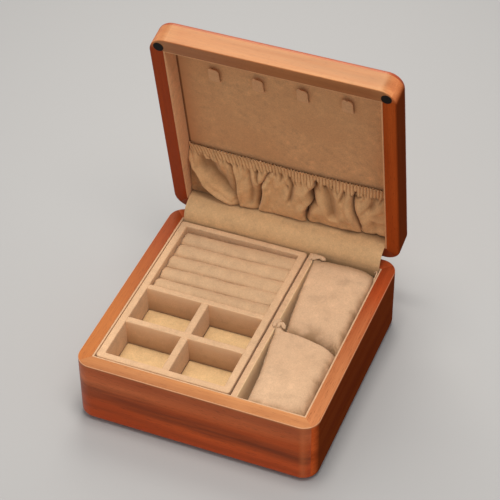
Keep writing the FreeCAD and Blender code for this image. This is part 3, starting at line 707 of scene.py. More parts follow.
# ----------------------------------------------------------------------------
# Ring rolls: foam rolls under suede, pressed side by side, with rounded ends
# ----------------------------------------------------------------------------
def make_rolls():
    x0, x1 = -100.7, 23.4
    y_hi, pitch = 99.6, 18.72
    for i in range(5):
        yc = y_hi - (i + 0.5) * pitch
        a = pitch / 2 - 0.04
        ztop, zs, zb = 69.6, 62.4, 45.7
        sec = []
        nb = 34
        for k in range(nb + 1):
            t = math.pi * k / nb
            c, s = math.cos(t), math.sin(t)
            n = 2.05
            px = -a * (abs(c) ** (2 / n)) * (1 if c > 0 else -1)
            pz = zs + (ztop - zs) * (abs(s) ** (2 / n)) ** 1.0
            sec.append((px, pz))
        sec += [(a, 57.0), (a, 50.0), (a - 0.6, zb), (0, zb), (-a + 0.6, zb), (-a, 50.0), (-a, 57.0)]
        sec = np.array(sec)
        m = len(sec)
        L = x1 - x0
        st = [0.0, 0.15, 0.4, 0.8, 1.4, 2.2, 3.2, 4.6, 6.2, 8.0]
        st = st + list(np.linspace(10, L - 10, 56)) + [L - s for s in reversed(st)]
        pts = []
        for s in st:
            # the left end shows its corner; at the right the fabric runs on into the wall
            if s < L / 2:
                e, re, rz = s, 3.4 + 0.8 * math.sin(2.3 * i), 4.2
            else:
                e, re, rz = L - s, 1.0, 0.5
            k = 1.0 if e >= re else math.sqrt(max(0.0, 1 - (1 - e / re) ** 2))
            q = sec.copy()
            q[:, 0] *= (0.90 + 0.10 * k) if s < L / 2 else 1.0
            top = q[:, 1] > 51
            q[top, 1] = q[top, 1] - (1 - k) * rz * (q[top, 1] - 51) / (ztop - 51)
            # grooves are tucked in deeper at the left and close up towards the right
            side = np.clip((ztop - q[:, 1]) / (ztop - zs), 0, 1)
            q[top, 1] += (side[top] ** 1.4) * (0.2 + 2.9 * smooth(np.full(top.sum(), s / L), 0.15, 0.95))
            q[top, 1] += 2.2 * (s / L) ** 1.6
            for c, z in q:
                pts.append((x0 + s, yc + c, z))
        v = np.array(pts)
        f = grid_faces(len(st), m, closed_v=True)
        f.append(tuple(range(m)))
        f.append(tuple(reversed([(len(st) - 1) * m + j for j in range(m)])))
        up = np.clip((v[:, 2] - 52) / 12, 0, 1)
        v[:, 2] += up * (fbm(v * np.array([1, 1.7, 1]), 0.028, 10 + i, 2) * 0.75 + fbm(v, 0.10, 30 + i, 3) * 0.34 - 0.35)
        v[:, 1] += up * np.clip(fbm(v, 0.045, 20 + i, 2), -0.5, 0.5) * 0.30
        # little puckers where the cover is tucked in at the left end
        d = np.clip(1 - (v[:, 0] - x0) / 9.0, 0, 1)
        v[:, 2] += up * d * fbm(v * np.array([0.35, 1, 1]), 0.30, 50 + i, 2) * 0.9
        v[:, 0] += up * d * np.clip(fbm(v, 0.16, 60 + i, 2), -0.4, 0.9) * 1.1
        v[:, 0] = np.maximum(v[:, 0], x0 - 0.25)
        o = new_object("ring_roll_soft_%d" % (i + 1), v, f, "suede_roll", "ring_insert", ("ring_roll_%d" % (i + 1),))


make_rolls()


# ----------------------------------------------------------------------------
# Necklace hooks: stiffened suede tabs that stand off the lid panel
# ----------------------------------------------------------------------------
def make_hooks():
    for i, cx in enumerate((-69.0, -23.0, 23.0, 69.0)):
        # centre line of the tab: foot on the panel, bend, tongue to the tip
        path = [(-62.6, 20.7), (-62.7, 19.9), (-63.3, 19.1), (-64.6, 18.55), (-66.6, 18.2), (-69.5, 17.95), (-73.0, 17.8), (-76.0, 17.7), (-78.0, 17.65), (-79.3, 17.62), (-80.1, 17.6), (-80.45, 17.6)]
        nu = 15
        v = []
        for j, (y, h) in enumerate(path):
            d = y - (-80.5)
            r = 4.2
            half = 5.95 if d >= r else 5.95 - r + r * (max(0.0, 1 - (1 - d / r) ** 2.3)) ** (1 / 2.3)
            for k in range(nu):
                t = -1 + 2 * k / (nu - 1)
                x = cx + half * t
                lean = 0.55 * t * smooth(np.array([-y]), 64, 78)[0]      # the right side stands off a little more
                hh = h - 0.35 * (1 - t * t) - lean + (0.5 if i % 2 else 0.2) * max(0.0, -t - 0.4)
                v.append(lid_point(x, y, hh))
        f = grid_faces(len(path), nu)
        o = new_object("necklace_hook_suede_%d" % (i + 1), np.array(v), f, "suede_hook", None)
        m = o.modifiers.new("s", "SOLIDIFY")
        m.thickness = 0.0014
        m.offset = 0.0
        m.use_even_offset = True
        b = o.modifiers.new("b", "SUBSURF")
        b.levels = b.render_levels = 2
        apply_modifiers(o)
        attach(o, "lid")
        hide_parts("necklace_hook_%d" % (i + 1))


make_hooks()


# ----------------------------------------------------------------------------
# Flap over the hinge line
# ----------------------------------------------------------------------------
def flap_centre(n_down=5, n_arc=16, n_lid=22):
    """Middle line of the flap in y, z: down inside the base, round the hinge axis, over the lid's back wall."""
    r = 17.35
    pts = []
    for k in range(n_down):
        pts.append((PIN_Y - r, PIN_Z - 12.6 + 12.6 * k / n_down))
    for k in range(n_arc):
        t = math.pi - OPEN * k / n_arc
        pts.append((PIN_Y + r * math.cos(t), PIN_Z + r * math.sin(t)))
    for k in range(n_lid + 1):
        s = k / n_lid
        zc = PIN_Z + (PANEL_H + RIM - 0.6 - PIN_Z) * s
        puff = 0.9 * math.sin(math.pi * min(1, s * 1.02)) ** 0.8 if 0 < s < 0.98 else 0.0
        p = opened(np.array([0.0, PIN_Y - r - puff, zc]))
        pts.append((p[1], p[2]))
    return np.array(pts)


def make_flap():
    c = flap_centre()
    nx = 90
    xs = np.linspace(-108.6, 108.6, nx)
    v = np.array([(x, y, z) for x in xs for y, z in c])
    # soft waver on the lid part, none near the arc
    k = np.clip((np.tile(np.arange(len(c)), nx) - 22) / 8.0, 0, 1) * np.clip((len(c) - 1 - np.tile(np.arange(len(c)), nx)) / 4.0, 0, 1)
    w = fbm(v * np.array([1, 1.6, 1.6]), 0.022, 4.4, 3) * 0.9 + fbm(v, 0.07, 9.0, 2) * 0.25
    v[:, 1] += -w * k * 0.35
    v[:, 2] += w * k
    f = grid_faces(nx, len(c))
    n = len(c)
    # painted shadow at the top end, under the pocket
    near = 0.52 * np.tile(np.clip((np.arange(n) - (n - 22)) / 10.0, 0, 1), nx) ** 1.5
    rear = smooth(v[:, 0], 37.1, 41.1)          # painted shade: a dark line where it goes down behind the tray, softer behind the cushion
    near = np.maximum(near, 0.22 * (1 - smooth(v[:, 2], 72.7, 74.3)) * (1 - rear) + 0.25 * (1 - smooth(v[:, 2], 70.8, 73.0)) * rear)
    o = new_object("hinge_flap_suede", v, f, "suede_flap", shade=near)
    m = o.modifiers.new("s", "SOLIDIFY")
    m.thickness = 0.0011
    m.offset = 0.0
    b = o.modifiers.new("b", "SUBSURF")
    b.levels = b.render_levels = 1
    apply_modifiers(o)
    d = np.diff(c, axis=0)
    length = float(np.hypot(d[:, 0], d[:, 1]).sum())
    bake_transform(o)
    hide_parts("hinge_flap")
    return length


FLAP_LEN = make_flap()


# ----------------------------------------------------------------------------
# Cloth simulation, run at 20 times the size, where the solver is at its best
# ----------------------------------------------------------------------------
SIM = 20.0


def run_cloth(verts, faces, frames, pins=None, colliders=(), **kw):
    """verts in mm. Returns the simulated points in mm."""
    scene = bpy.context.scene
    k = MM * SIM
    me = bpy.data.meshes.new("sim")
    me.from_pydata([tuple(map(float, v * k)) for v in np.asarray(verts, float)], [], [tuple(f) for f in faces])
    o = bpy.data.objects.new("sim", me)
    scene.collection.objects.link(o)
    m = o.modifiers.new("cloth", "CLOTH")
    st, co = m.settings, m.collision_settings
    st.quality = kw.get("quality", 6)
    st.mass = kw.get("mass", 0.3)
    st.tension_stiffness = kw.get("tension", 15)
    st.compression_stiffness = kw.get("compression", 15)
    st.shear_stiffness = kw.get("shear", 5)
    st.bending_stiffness = kw.get("bending", 0.5)
    st.tension_damping = st.compression_damping = kw.get("damping", 10)
    st.air_damping = kw.get("air", 2.0)
    st.effector_weights.gravity = kw.get("gravity", 0.0)
    if "pressure" in kw:
        st.use_pressure = True
        st.uniform_pressure_force = kw["pressure"]
    if "shrink" in kw:
        st.shrink_min = kw["shrink"]
    if pins is not None:
        g = o.vertex_groups.new(name="pin")
        for i, w in enumerate(pins):
            if w > 0:
                g.add([i], float(w), "REPLACE")
        st.vertex_group_mass = "pin"
    co.use_self_collision = kw.get("self_collision", False)
    co.self_distance_min = kw.get("self_distance", 0.012)
    co.use_collision = bool(colliders)
    co.distance_min = kw.get("distance", 0.006)
    cols = []
    for cv, cf in colliders:
        cm = bpy.data.meshes.new("col")
        cm.from_pydata([tuple(map(float, np.array(v) * k)) for v in cv], [], cf)
        c = bpy.data.objects.new("col", cm)
        scene.collection.objects.link(c)
        c.modifiers.new("c", "COLLISION")
        c.collision.thickness_outer = 0.004
        c.collision.cloth_friction = kw.get("friction", 5.0)
        cols.append(c)
    m.point_cache.frame_start, m.point_cache.frame_end = 1, frames
    scene.frame_start, scene.frame_end = 1, frames
    for fr in range(1, frames + 1):
        scene.frame_set(fr)
    dg = bpy.context.evaluated_depsgraph_get()
    e = o.evaluated_get(dg)
    out = np.array([v.co for v in e.data.vertices], float) / k
    scene.frame_set(1)
    for c in cols + [o]:
        d = c.data
        bpy.data.objects.remove(c)
        bpy.data.meshes.remove(d)
    return out


# ----------------------------------------------------------------------------
# Cushions: two suede panels seamed round the middle and stuffed, pressed into
# the well so that corners of the seam turn up as ears
# ----------------------------------------------------------------------------
def section(n_lo, n_hi, half, rise, k):
    """Half a pad's section: u in -1..1 across, f in 0..1 up, k points evenly spaced along the curve."""
    s = np.concatenate([[0.0], np.logspace(-9, 0, 500)])
    lo = (1 - (1 - s) ** n_lo) ** (1 / n_lo)
    hi = (1 - (1 - s) ** n_hi) ** (1 / n_hi)
    u = np.concatenate([s - 1, (1 - s)[::-1][1:]])
    f = np.concatenate([lo, hi[::-1][1:]])
    d = np.concatenate([[0], np.cumsum(np.hypot(np.diff(u) * half, np.diff(f) * rise))])
    t = np.linspace(0, d[-1], k)
    return np.interp(t, d, u), np.interp(t, d, f)


def side_line(pts, t):
    """Point along a run of plan points, t in 0..1 by length, corners eased."""
    p = np.array(pts, float)
    d = np.concatenate([[0], np.cumsum(np.hypot(*np.diff(p, axis=0).T))])
    d /= d[-1]
    w = 0.05
    out = 0
    for k, g in ((-1, 0.25), (0, 0.5), (1, 0.25)):
        q = np.clip(t + k * w * np.minimum(1, np.minimum(t, 1 - t) / w), 0, 1)
        out = out + g * np.column_stack([np.interp(q, d, p[:, 0]), np.interp(q, d, p[:, 1])])
    return out


def coons(left, right, front, rear, u, v):
    a, b = (u + 1) / 2, (v + 1) / 2
    A, B = a[:, None], b[:, None]
    L, R, F, K = side_line(left, b), side_line(right, b), side_line(front, a), side_line(rear, a)
    p00, p10, p01, p11 = map(np.array, (left[0], right[0], left[-1], right[-1]))
    return (1 - A) * L + A * R + (1 - B) * F + B * K - ((1 - A) * (1 - B) * p00 + A * (1 - B) * p10 + (1 - A) * B * p01 + A * B * p11)


def make_cushion(name, node, body, left, right, front, rear, powers, seam, top, crown, bottom, ears, x_lim, y_lim, seed, slope=(0.0, 0.0), box_left=(1.0, 1.0), box_right=(1.0, 1.0), lips=(), rolls=(), margins=(), hollows=()):
    nu, nv = 61, 85
    us, fu = section(powers[0], powers[1], 31.0, 26.0, nu)
    vs, fv = section(powers[2], powers[3], 52.0, 26.0, nv)
    U, V2 = np.meshgrid(us, vs, indexing="ij")
    FU, FV = np.meshgrid(fu, fv, indexing="ij")
    g = np.where(U < 0, box_left[0] + (box_left[1] - box_left[0]) * smooth(V2, -0.4, 0.9), 1.0)
    g = np.where(U > 0, box_right[0] + (box_right[1] - box_right[0]) * smooth(V2, -0.2, 0.95), g)
    FU = FU ** g
    u, v, F = U.ravel(), V2.ravel(), (FU * FV).ravel()
    plan = coons(left, right, front, rear, u, v)
    zmid = np.full(len(u), float(seam))
    ztop = top + crown * (1 - u ** 2) * (1 - v ** 2) + slope[0] * u + slope[1] * v
    for cu, cv, wu, wv, hgt in lips:            # places where the pad stands a little higher or lower
        ztop = ztop + hgt * np.exp(-((u - cu) / wu) ** 2 - ((v - cv) / wv) ** 2)
    Ft, Fb = F.copy(), F.copy()
    lift = np.zeros(len(u))
    move = np.zeros((len(u), 2))
    low_cut = np.zeros(len(u))
    for e in ears:
        c = {"fl": left[0], "fr": right[0], "rl": left[-1], "rr": right[-1]}[e["at"]]
        d = np.hypot(plan[:, 0] - c[0], plan[:, 1] - c[1])
        W = smooth(1 - d / e["reach"], 0, 1)
        zmid = zmid + (e["z"] - zmid) * W ** 0.8
        w2 = smooth(1 - d / e["thin"], 0, 1)
        Fb = Fb * (1 - w2)
        Ft = Ft * (1 - w2) + w2 * 0.9
        lift += e.get("puff", 0.0) * np.exp(-((d - e["thin"] * 0.45) / (e["thin"] * 0.35)) ** 2)
        lift -= e["groove"] * np.exp(-((d - e["ring"]) / e["wide"]) ** 2)
        k = smooth(1 - d / e["pull"], 0, 1) ** 0.8
        move += k[:, None] * np.array(e["tip"])
    zt = zmid + (np.maximum(ztop, zmid) - zmid) * np.minimum(1, Ft)
    zt = zt + lift * np.clip(F * 2.2, 0, 1)
    zb = zmid - (zmid - bottom) * np.minimum(1, Fb)
    plan = plan + move
    # the left side leans out to the divider lower down
    lean = 0.6 * np.maximum(side_line(left, (v + 1) / 2)[:, 0] - 40.7, 0) * np.clip((0.5 - u / 2), 0, 1) ** 1.5
    topv = np.column_stack([plan[:, 0] - lean * (1 - smooth(zt, 40.0, 60.0)), plan[:, 1], zt])
    botv = np.column_stack([plan[:, 0] - lean * (1 - smooth(zb, 40.0, 60.0)), plan[:, 1], zb])
    idx = np.arange(nu * nv).reshape(nu, nv)
    edge = np.zeros((nu, nv), bool)
    edge[0] = edge[-1] = True
    edge[:, 0] = edge[:, -1] = True
    inner = idx[~edge].ravel()
    remap = {int(i): int(i) for i in idx[edge].ravel()}
    for k, i in enumerate(inner):
        remap[int(i)] = nu * nv + k
    # puckers along the seam and soft dents over the pad
    q = np.column_stack([plan[:, 0], plan[:, 1], zt])
    rim = np.clip(1.15 - F, 0, 1) * np.clip((F - 0.15) * 3, 0, 1)
    topv[:, 2] += fbm(q, 0.020, seed * 9.1, 2) * 0.9 * F
    topv[:, 2] += fbm(q, 0.085, seed * 5.3, 3) * (0.30 * F + 1.3 * rim)
    topv[:, 0] += fbm(q, 0.11, seed * 3.3, 2) * rim * 1.0
    topv[:, 1] += fbm(q, 0.11, seed * 4.7, 2) * rim * 1.0
    # painted shade: dark, fuzzy margins along the walls, where the pad falls away into shade, and in the hollow where
    # the pads meet
    patchy = np.clip(0.55 + 1.5 * fbm(q, 0.085, seed * 2.1 + 7, 2), 0.12, 1.0)
    shade = np.zeros(len(u))
    for kind, width, amount, sink in margins:
        line = {"right": right, "front": front, "rear": rear, "left": left}[kind]
        par = (v + 1) / 2 if kind in ("left", "right") else (u + 1) / 2
        e = side_line(line, par)
        axis = 0 if kind in ("left", "right") else 1
        dist = np.abs(plan[:, axis] - e[:, axis])
        b = np.exp(-(dist / width) ** 1.6)
        shade = np.maximum(shade, amount * b * (patchy if kind in ("right", "front") else 1.0))
        topv[:, 2] -= sink * b * (0.35 + 0.65 * patchy) * F
    for cx, cy, rad, amount, sink in hollows:
        r = np.hypot((plan[:, 0] - cx), (plan[:, 1] - cy) * 1.5)
        b = np.exp(-(r / rad) ** 2)
        shade = np.maximum(shade, amount * b * (0.75 + 0.25 * np.sin(r * 2.1 + 2 * fbm(q, 0.12, 4.0, 2))))
        topv[:, 2] -= sink * b - 0.30 * b * np.sin(r * 2.1)
    verts = np.concatenate([topv, botv[inner]])
    faces = grid_faces(nu, nv)
    faces += [tuple(remap[q] for q in reversed(f)) for f in grid_faces(nu, nv)]
    sim = run_cloth(verts, faces, 12, pressure=1.6, shrink=-0.04, tension=18, compression=8, shear=3, bending=0.2, quality=6)
    d = sim - verts
    ln = np.linalg.norm(d, axis=1)
    cap = 1.5
    k = np.where(ln > 1e-9, cap * np.tanh(ln / cap) / np.maximum(ln, 1e-9), 0)
    verts = verts + d * k[:, None]

    def soft_lim(x, lo, hi, s=1.2):             # stays in its well
        x = np.where(x > hi - s, hi - s * np.exp(-(x - (hi - s)) / s), x)
        return np.where(x < lo + s, lo + s * np.exp((x - (lo + s)) / s), x)
    over = smooth(verts[:, 2], 73.4, 74.6)      # only the ears reach over the divider
    verts[:, 0] = soft_lim(verts[:, 0], *x_lim) * (1 - over) + verts[:, 0] * over
    verts[:, 0] = np.minimum(verts[:, 0], x_lim[1])
    verts[:, 1] = soft_lim(verts[:, 1], *y_lim)
    verts[:, 2] = np.maximum(verts[:, 2], bottom)
    hang = verts[:, 0] < 40.4
    verts[hang, 2] = np.maximum(verts[hang, 2], 73.95)
    # painted shade on the underside of the pad
    shade = np.concatenate([shade, shade[inner] * 0 + 0.6])
    for path, ry, rz, wrinkle, roll_shade in rolls:   # rolled and pinched bits of the seam
        p = np.array(path, float)
        d = np.concatenate([[0], np.cumsum(np.linalg.norm(np.diff(p, axis=0), axis=1))])
        n, ring = 44, 14
        tt = np.linspace(0, d[-1], n)
        c = np.column_stack([np.interp(tt, d, p[:, k]) for k in range(3)])
        for _ in range(8):
            c[1:-1] = (c[:-2] + 2 * c[1:-1] + c[2:]) / 4
        tan = np.gradient(c, axis=0)
        tan /= np.linalg.norm(tan, axis=1)[:, None]
        up = np.array([0, 0, 1.0])
        sidev = np.cross(tan, up)
        sidev /= np.linalg.norm(sidev, axis=1)[:, None]
        start = len(verts)
        size = np.minimum(1, np.sin(np.pi * np.linspace(0.03, 0.97, n)) * 1.9) ** 0.7
        tube = []
        for i in range(n):
            for j in range(ring):
                a = 2 * math.pi * j / ring
                m = 1 + wrinkle * noise.noise((c[i][0] * 0.45, c[i][1] * 0.45, 2.2 * math.sin(a) + seed * 3))
                tube.append(c[i] + size[i] * m * (sidev[i] * ry * math.cos(a) + up * rz * math.sin(a)) - up * rz * 0.5)
        tube = np.array(tube)
        rest = tube[:, 0] < 40.4                # they lie on the divider
        tube[rest, 2] = np.maximum(tube[rest, 2], 73.95)
        verts = np.concatenate([verts, tube])
        # painted shade: the rolled bits are painted a little darker, and darker still on their undersides
        dark = roll_shade + 0.55 * np.clip((c[:, 2].repeat(ring) - tube[:, 2]) / rz, 0, 1)
        shade = np.concatenate([shade, dark])
        faces = faces + grid_faces(n, ring, closed_v=True, start=start)
        faces.append(tuple(start + j for j in reversed(range(ring))))
        faces.append(tuple(start + (n - 1) * ring + j for j in range(ring)))
    o = new_object(name, verts, faces, "suede_cushion", shade=shade)
    m = o.modifiers.new("b", "SUBSURF")
    m.levels = m.render_levels = 1
    apply_modifiers(o)
    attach(o, body)
    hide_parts(node)
    return o


MEET = [(49.0, -4.6), (63.0, -6.4), (82.0, -9.2), (96.0, -12.6), (107.6, -16.6)]      # where the two cushions press together
make_cushion("cushion_rear_soft", "cushion_rear", "cushion_rear",
             left=[(47.8, -4.2), (46.5, 12.0), (44.4, 29.0), (42.2, 50.0), (40.8, 72.0), (40.4, 104.6)],
             right=[(107.2, -12.6), (107.6, 20.0), (107.9, 60.0), (107.8, 80.0), (107.0, 93.0), (105.2, 104.8)],
             front=[(47.8, -4.2), (57.0, -3.4), (68.0, -1.2), (82.0, -0.6), (94.0, -3.4), (107.2, -12.6)],
             rear=[(40.4, 104.6), (52.4, 104.9), (64.5, 105.6), (80.0, 106.4), (91.6, 106.2), (105.2, 104.8)],
             powers=(6.0, 4.6, 3.2, 10.0), seam=46.0, top=73.9, crown=0.5, bottom=22.9,
             ears=[dict(at="rl", reach=14.0, z=74.6, thin=6.0, puff=0.3, groove=1.6, ring=9.0, wide=1.8, pull=12.0, tip=(-3.4, 2.0))],
             x_lim=(40.5, 108.9), y_lim=(-17.4, 107.6), seed=1.0, slope=(0.0, 0.9), box_left=(1.0, 0.35), box_right=(1.0, 0.40),
             lips=[(0.2, 0.86, 0.7, 0.2, 0.7)],
             rolls=[([(39.0, 98.6, 74.6), (41.8, 102.4, 75.5), (46.8, 103.8, 75.8), (52.8, 102.2, 74.8)], 2.7, 1.9, 0.3, 0.10),
                    ([(37.0, 97.0, 74.4), (37.0, 102.0, 74.7), (38.8, 105.2, 74.9), (42.8, 106.2, 74.8)], 1.9, 0.9, 0.25, 0.14),
                    ([(103.9, 106.6, 70.6), (106.2, 106.2, 73.2), (107.8, 104.4, 74.3), (108.2, 100.0, 74.3), (108.1, 96.0, 73.4), (107.9, 92.0, 71.0)], 0.8, 1.8, 0.1, 0.0)],
             margins=[("right", 4.5, 0.60, 0.8), ("front", 9.0, 0.80, 1.6), ("rear", 9.0, 0.75, 0.9), ("left", 2.2, 0.6, 0.2)],
             hollows=[(98.0, -6.0, 10.0, 1.0, 1.6), (82.0, -2.0, 9.0, 0.7, 1.0), (107.0, 42.0, 6.5, 0.8, 0.9), (106.6, 12.0, 6.0, 0.8, 1.0)])
make_cushion("cushion_front_soft", "cushion_front", "cushion_front",
             left=[(47.4, -108.4), (46.8, -80.0), (45.4, -60.0), (42.6, -38.0), (40.6, -20.0), (40.4, -6.4)],
             right=[(107.2, -108.2), (107.4, -60.0), (108.0, -17.4)],
             front=[(47.4, -108.4), (78.0, -108.6), (107.2, -108.2)],
             rear=[(40.4, -6.4), (47.4, -6.2), (63.0, -7.6), (82.0, -10.2), (96.0, -13.6), (108.0, -17.4)],
             powers=(6.0, 4.8, 6.5, 12.0), seam=46.0, top=74.0, crown=0.7, bottom=22.9,
             ears=[dict(at="rl", reach=13.0, z=74.8, thin=6.0, puff=0.4, groove=1.5, ring=8.5, wide=1.7, pull=11.0, tip=(-1.6, 2.6))],
             x_lim=(40.5, 108.9), y_lim=(-108.9, 3.6), seed=2.0, slope=(0.0, 0.3), box_left=(1.0, 0.5), box_right=(1.0, 0.8),
             lips=[(0.2, 0.95, 0.9, 0.07, 1.0)],
             rolls=[([(38.4, -8.0, 74.8), (38.2, -3.0, 75.7), (40.4, 1.6, 75.6), (43.4, 2.6, 75.0)], 2.3, 1.6, 0.35, 0.10),
                    ([(42.4, -7.5, 74.9), (43.0, -2.6, 75.9), (46.0, -1.6, 75.6), (49.4, -6.4, 74.4)], 2.2, 1.6, 0.35, 0.10)],
             margins=[("right", 4.2, 0.60, 0.8), ("front", 4.6, 0.95, 0.9), ("left", 2.2, 0.6, 0.2)],
             hollows=[(106.4, -60.0, 7.0, 0.7, 0.8), (106.8, -32.0, 6.0, 0.7, 0.7), (104.0, -104.0, 9.0, 0.7, 0.8), (80.0, -107.0, 6.0, 0.6, 0.5)])


# ----------------------------------------------------------------------------
# Gathered pocket on the lid panel: one suede sheet, ruffled on its elastic
# ----------------------------------------------------------------------------
def make_pocket():
    nx, ny = 721, 73
    s = np.linspace(0, 1, nx)
    t = np.linspace(0, 1, ny)
    S, T = np.meshgrid(s, t, indexing="ij")
    S, T = S.ravel(), T.ravel()
    X = -108.5 + 217.0 * S
    # y runs down the panel, h is the depth: the sheet leaves the elastic close to the panel,
    # bellies out low down and tucks under to its seam
    y0 = interp(X, [-108.6, -102, -75, -35, 0, 11, 58, 102, 108.6], [40.6, 41.6, 42.4, 43.1, 44.4, 44.8, 43.8, 42.4, 42.2])
    h_low = interp(X, [-108.6, -91, -82, -72, -52, -33, -13, 6, 19, 35, 49, 60, 72, 84, 97, 108],
                   [8.0, 8.0, 6.6, 5.4, 4.6, 5.0, 5.0, 4.7, 5.4, 8.0, 7.6, 7.0, 8.2, 10.6, 11.2, 10.4])
    TB = 0.87
    k = 0.022
    ys = 107.2 - (107.2 - y0) / TB * k * np.log1p(np.exp(np.clip((TB - T) / k, -50, 50)))
    w = np.sin(np.pi / 2 * np.clip((ys - 47) / 57, 0, 1)) ** 0.95
    hs = 17.6 * (1 - w) + h_low * w
    hs = hs + (20.1 - h_low) * k * np.log1p(np.exp(np.clip((T - TB) / k, -50, 50))) / (1 - TB)
    hs = hs + 0.5 * (1 - smooth(T, 0.0, 0.1))
    Z0 = np.zeros_like(X)
    line = np.column_stack([X, Z0, Z0])
    q = np.column_stack([X, ys * 0.55, Z0])
    out = np.zeros_like(X)                      # towards the viewer is minus h
    # painted shade: darker in the ruffle valleys, the folds, the hollow outside the rolled ridge and where the sheet
    # tucks under
    fold_shade = np.zeros_like(X)
    # ruffles on the elastic
    band = interp(X, [-108, -78, -53, -34, 0, 9, 32, 51, 71, 97, 108], [50.4, 53.5, 54.2, 55.7, 52.2, 56.5, 55.1, 57.3, 56.0, 54.2, 54.0]) + 1.6 * fbm(line, 0.09, 6.0, 2)
    slant = interp(X, [-108, -20, 30, 108], [0.50, 0.36, 0.12, 0.0])
    ang = 2 * np.pi * (X - slant * (ys - 42.0)) / 3.62 + fbm(line, 0.019, 2.0, 2) * 3.0
    ridge = np.abs(np.cos(ang / 2)) ** 0.62 * 2 - 1.35
    amp = 1.9 + 0.6 * fbm(line, 0.09, 5.0, 2)
    fade = 1 - smooth(ys, band - 3.0, band + 2.5)
    out += ridge * amp * fade
    fold_shade += np.clip(0.0 - ridge * 0.9, 0, 1) * fade * 0.75
    # gathers that spread from the band and die away downwards
    g2 = np.abs(np.cos(ang / 4 + 1.3 * fbm(line, 0.05, 21.0, 2))) * 2 - 1.2
    out += g2 * 1.3 * smooth(ys, band - 3.0, band + 1.0) * (1 - smooth(ys, band + 1.5, band + 9.0))
    fold_shade += np.clip(-g2, 0, 1) * 0.5 * smooth(ys, band - 3.0, band + 0.5) * (1 - smooth(ys, band + 0.5, band + 5.0))
    out += fbm(np.column_stack([X, ys * 0.30, Z0]), 0.085, 7.0, 2) * 3.6 * smooth(ys, band, band + 5) * (1 - smooth(ys, 62, 80))
    out += fbm(np.column_stack([X + ys * 0.2, ys * 0.5, Z0]), 0.040, 11.0, 2) * 4.0 * smooth(ys, 56, 70) * (1 - 0.88 * smooth(ys, 86, 102))
    out += fbm(np.column_stack([X, ys * 0.8, Z0]), 0.11, 15.0, 2) * 0.45 * smooth(ys, 56, 66)

    # folds: path (y, x), depth, half width to the left and right, lips to the left and right, how much painted shade
    # the hollow gets
    folds = [
        ([(52, -16), (57.3, -20.5), (65.1, -23.9), (70, -25.8)], 8.5, 2.0, 1.5, 1.2, 2.2, 0.8),
        ([(53, -32.6), (62.2, -32.1), (67.7, -30.9), (70, -27.4)], 5.5, 1.5, 1.6, 1.4, 1.0, 0.6),
        ([(66, -25.4), (69.7, -25.8), (77.8, -26.3), (88.1, -27.8), (97.6, -29.4), (106, -30.8)], 13.5, 3.6, 1.9, 0.9, 3.2, 1.0),
        ([(54.0, -60.8), (58.2, -58.6), (65.8, -55.6), (77.4, -54.6), (92.2, -54.0), (105.2, -52.6)], 6.5, 4.4, 1.3, 0.2, 3.0, 0.55),
        ([(56, -86.5), (68.4, -82.3), (77.1, -76.0), (85.6, -67.7), (95.3, -58.4)], 6.8, 8.5, 9.0, 0.6, 0.2, 0.55),
        ([(52, -95.2), (57, -94.4), (66, -93.0), (76, -87.0)], 3.4, 3.0, 4.0, 1.0, 0.0, 0.35),
        ([(53, -66.5), (57, -62.8), (61, -60.0)], 4.5, 1.8, 1.5, 0.8, 0.8, 0.75),
        ([(57, -42.1), (66.3, -39.7), (76.2, -37.2), (87.8, -37.8), (101, -39.5)], 3.6, 2.6, 3.2, 0.6, 0.6, 0.42),
        ([(50, -7.4), (56.6, -5.8), (61.5, -6.3)], 3.6, 1.5, 1.7, 0.8, 0.8, 0.7),
        ([(62, 0.2), (66, 0.7), (72, 2.3)], 2.6, 1.3, 1.6, 0.4, 0.4, 0.5),
        ([(52, 3.2), (56, 3.4), (65, 5.8), (74.2, 4.8), (86, 3.2)], 4.6, 2.0, 2.4, 0.9, 0.6, 0.6),
        ([(50.5, 29.6), (53.3, 29.4), (59.6, 28.7), (66.1, 24.3), (71.2, 25.0), (78.6, 27.2), (84.3, 23.3), (89.6, 20.5), (97.9, 19.7), (106, 20.8)], 14.5, 2.2, 4.0, 3.0, 1.6, 1.0),
        ([(52, 40.6), (55.5, 41.3), (64.5, 44.1), (71.6, 46.2), (82.9, 49.1), (95, 50.4)], 5.4, 4.4, 6.0, 0.8, 1.0, 0.5),
        ([(51, 48.6), (53.3, 49.1), (58, 51.6)], 3.0, 1.4, 1.5, 0.6, 0.6, 0.6),
        ([(53, 62.0), (55.7, 61.3), (62.9, 59.3), (70, 57.6)], 3.6, 1.6, 2.2, 0.6, 0.6, 0.5),
        ([(51.5, 72.4), (54, 71.6), (62.2, 69.2), (70.9, 70.2), (81, 72.4), (90.2, 74.9), (97.9, 77.3), (106, 79.2)], 12.0, 1.6, 2.9, 2.8, 1.4, 1.0),
        ([(54.5, 80.5), (56.9, 78.5), (59.7, 74.8), (63.6, 71.3)], 5.5, 1.8, 1.7, 0.6, 0.8, 0.7),
        ([(53, 95.6), (56.1, 94.3), (66.1, 90.7), (76, 87.2)], 4.6, 2.6, 4.0, 0.6, 0.8, 0.5),
        ([(52.5, 81.5), (55.8, 86.2)], 2.4, 1.4, 1.4, 0.4, 0.4, 0.5),
        ([(52, 102.4), (54.6, 101.6), (63, 99.0)], 3.6, 1.6, 2.0, 0.5, 0.5, 0.5),
        ([(84, 92.0), (94, 94.5), (104, 95.5)], 2.0, 3.0, 3.0, 0.3, 0.3, 0.25),
    ]
    shift = np.zeros_like(X)
    for path, depth, hl, hr, lip_l, lip_r, dark in folds:
        py = np.array([p[0] for p in path], float)
        px = np.array([p[1] for p in path], float)
        xc = np.interp(ys, py, px)
        a, b = py.min(), py.max()
        env = smooth(ys, a - 1.5, a + 4.0) * (1 - (smooth(ys, b - 7.0, b + 1.0) if b < 103 else 0 * ys))
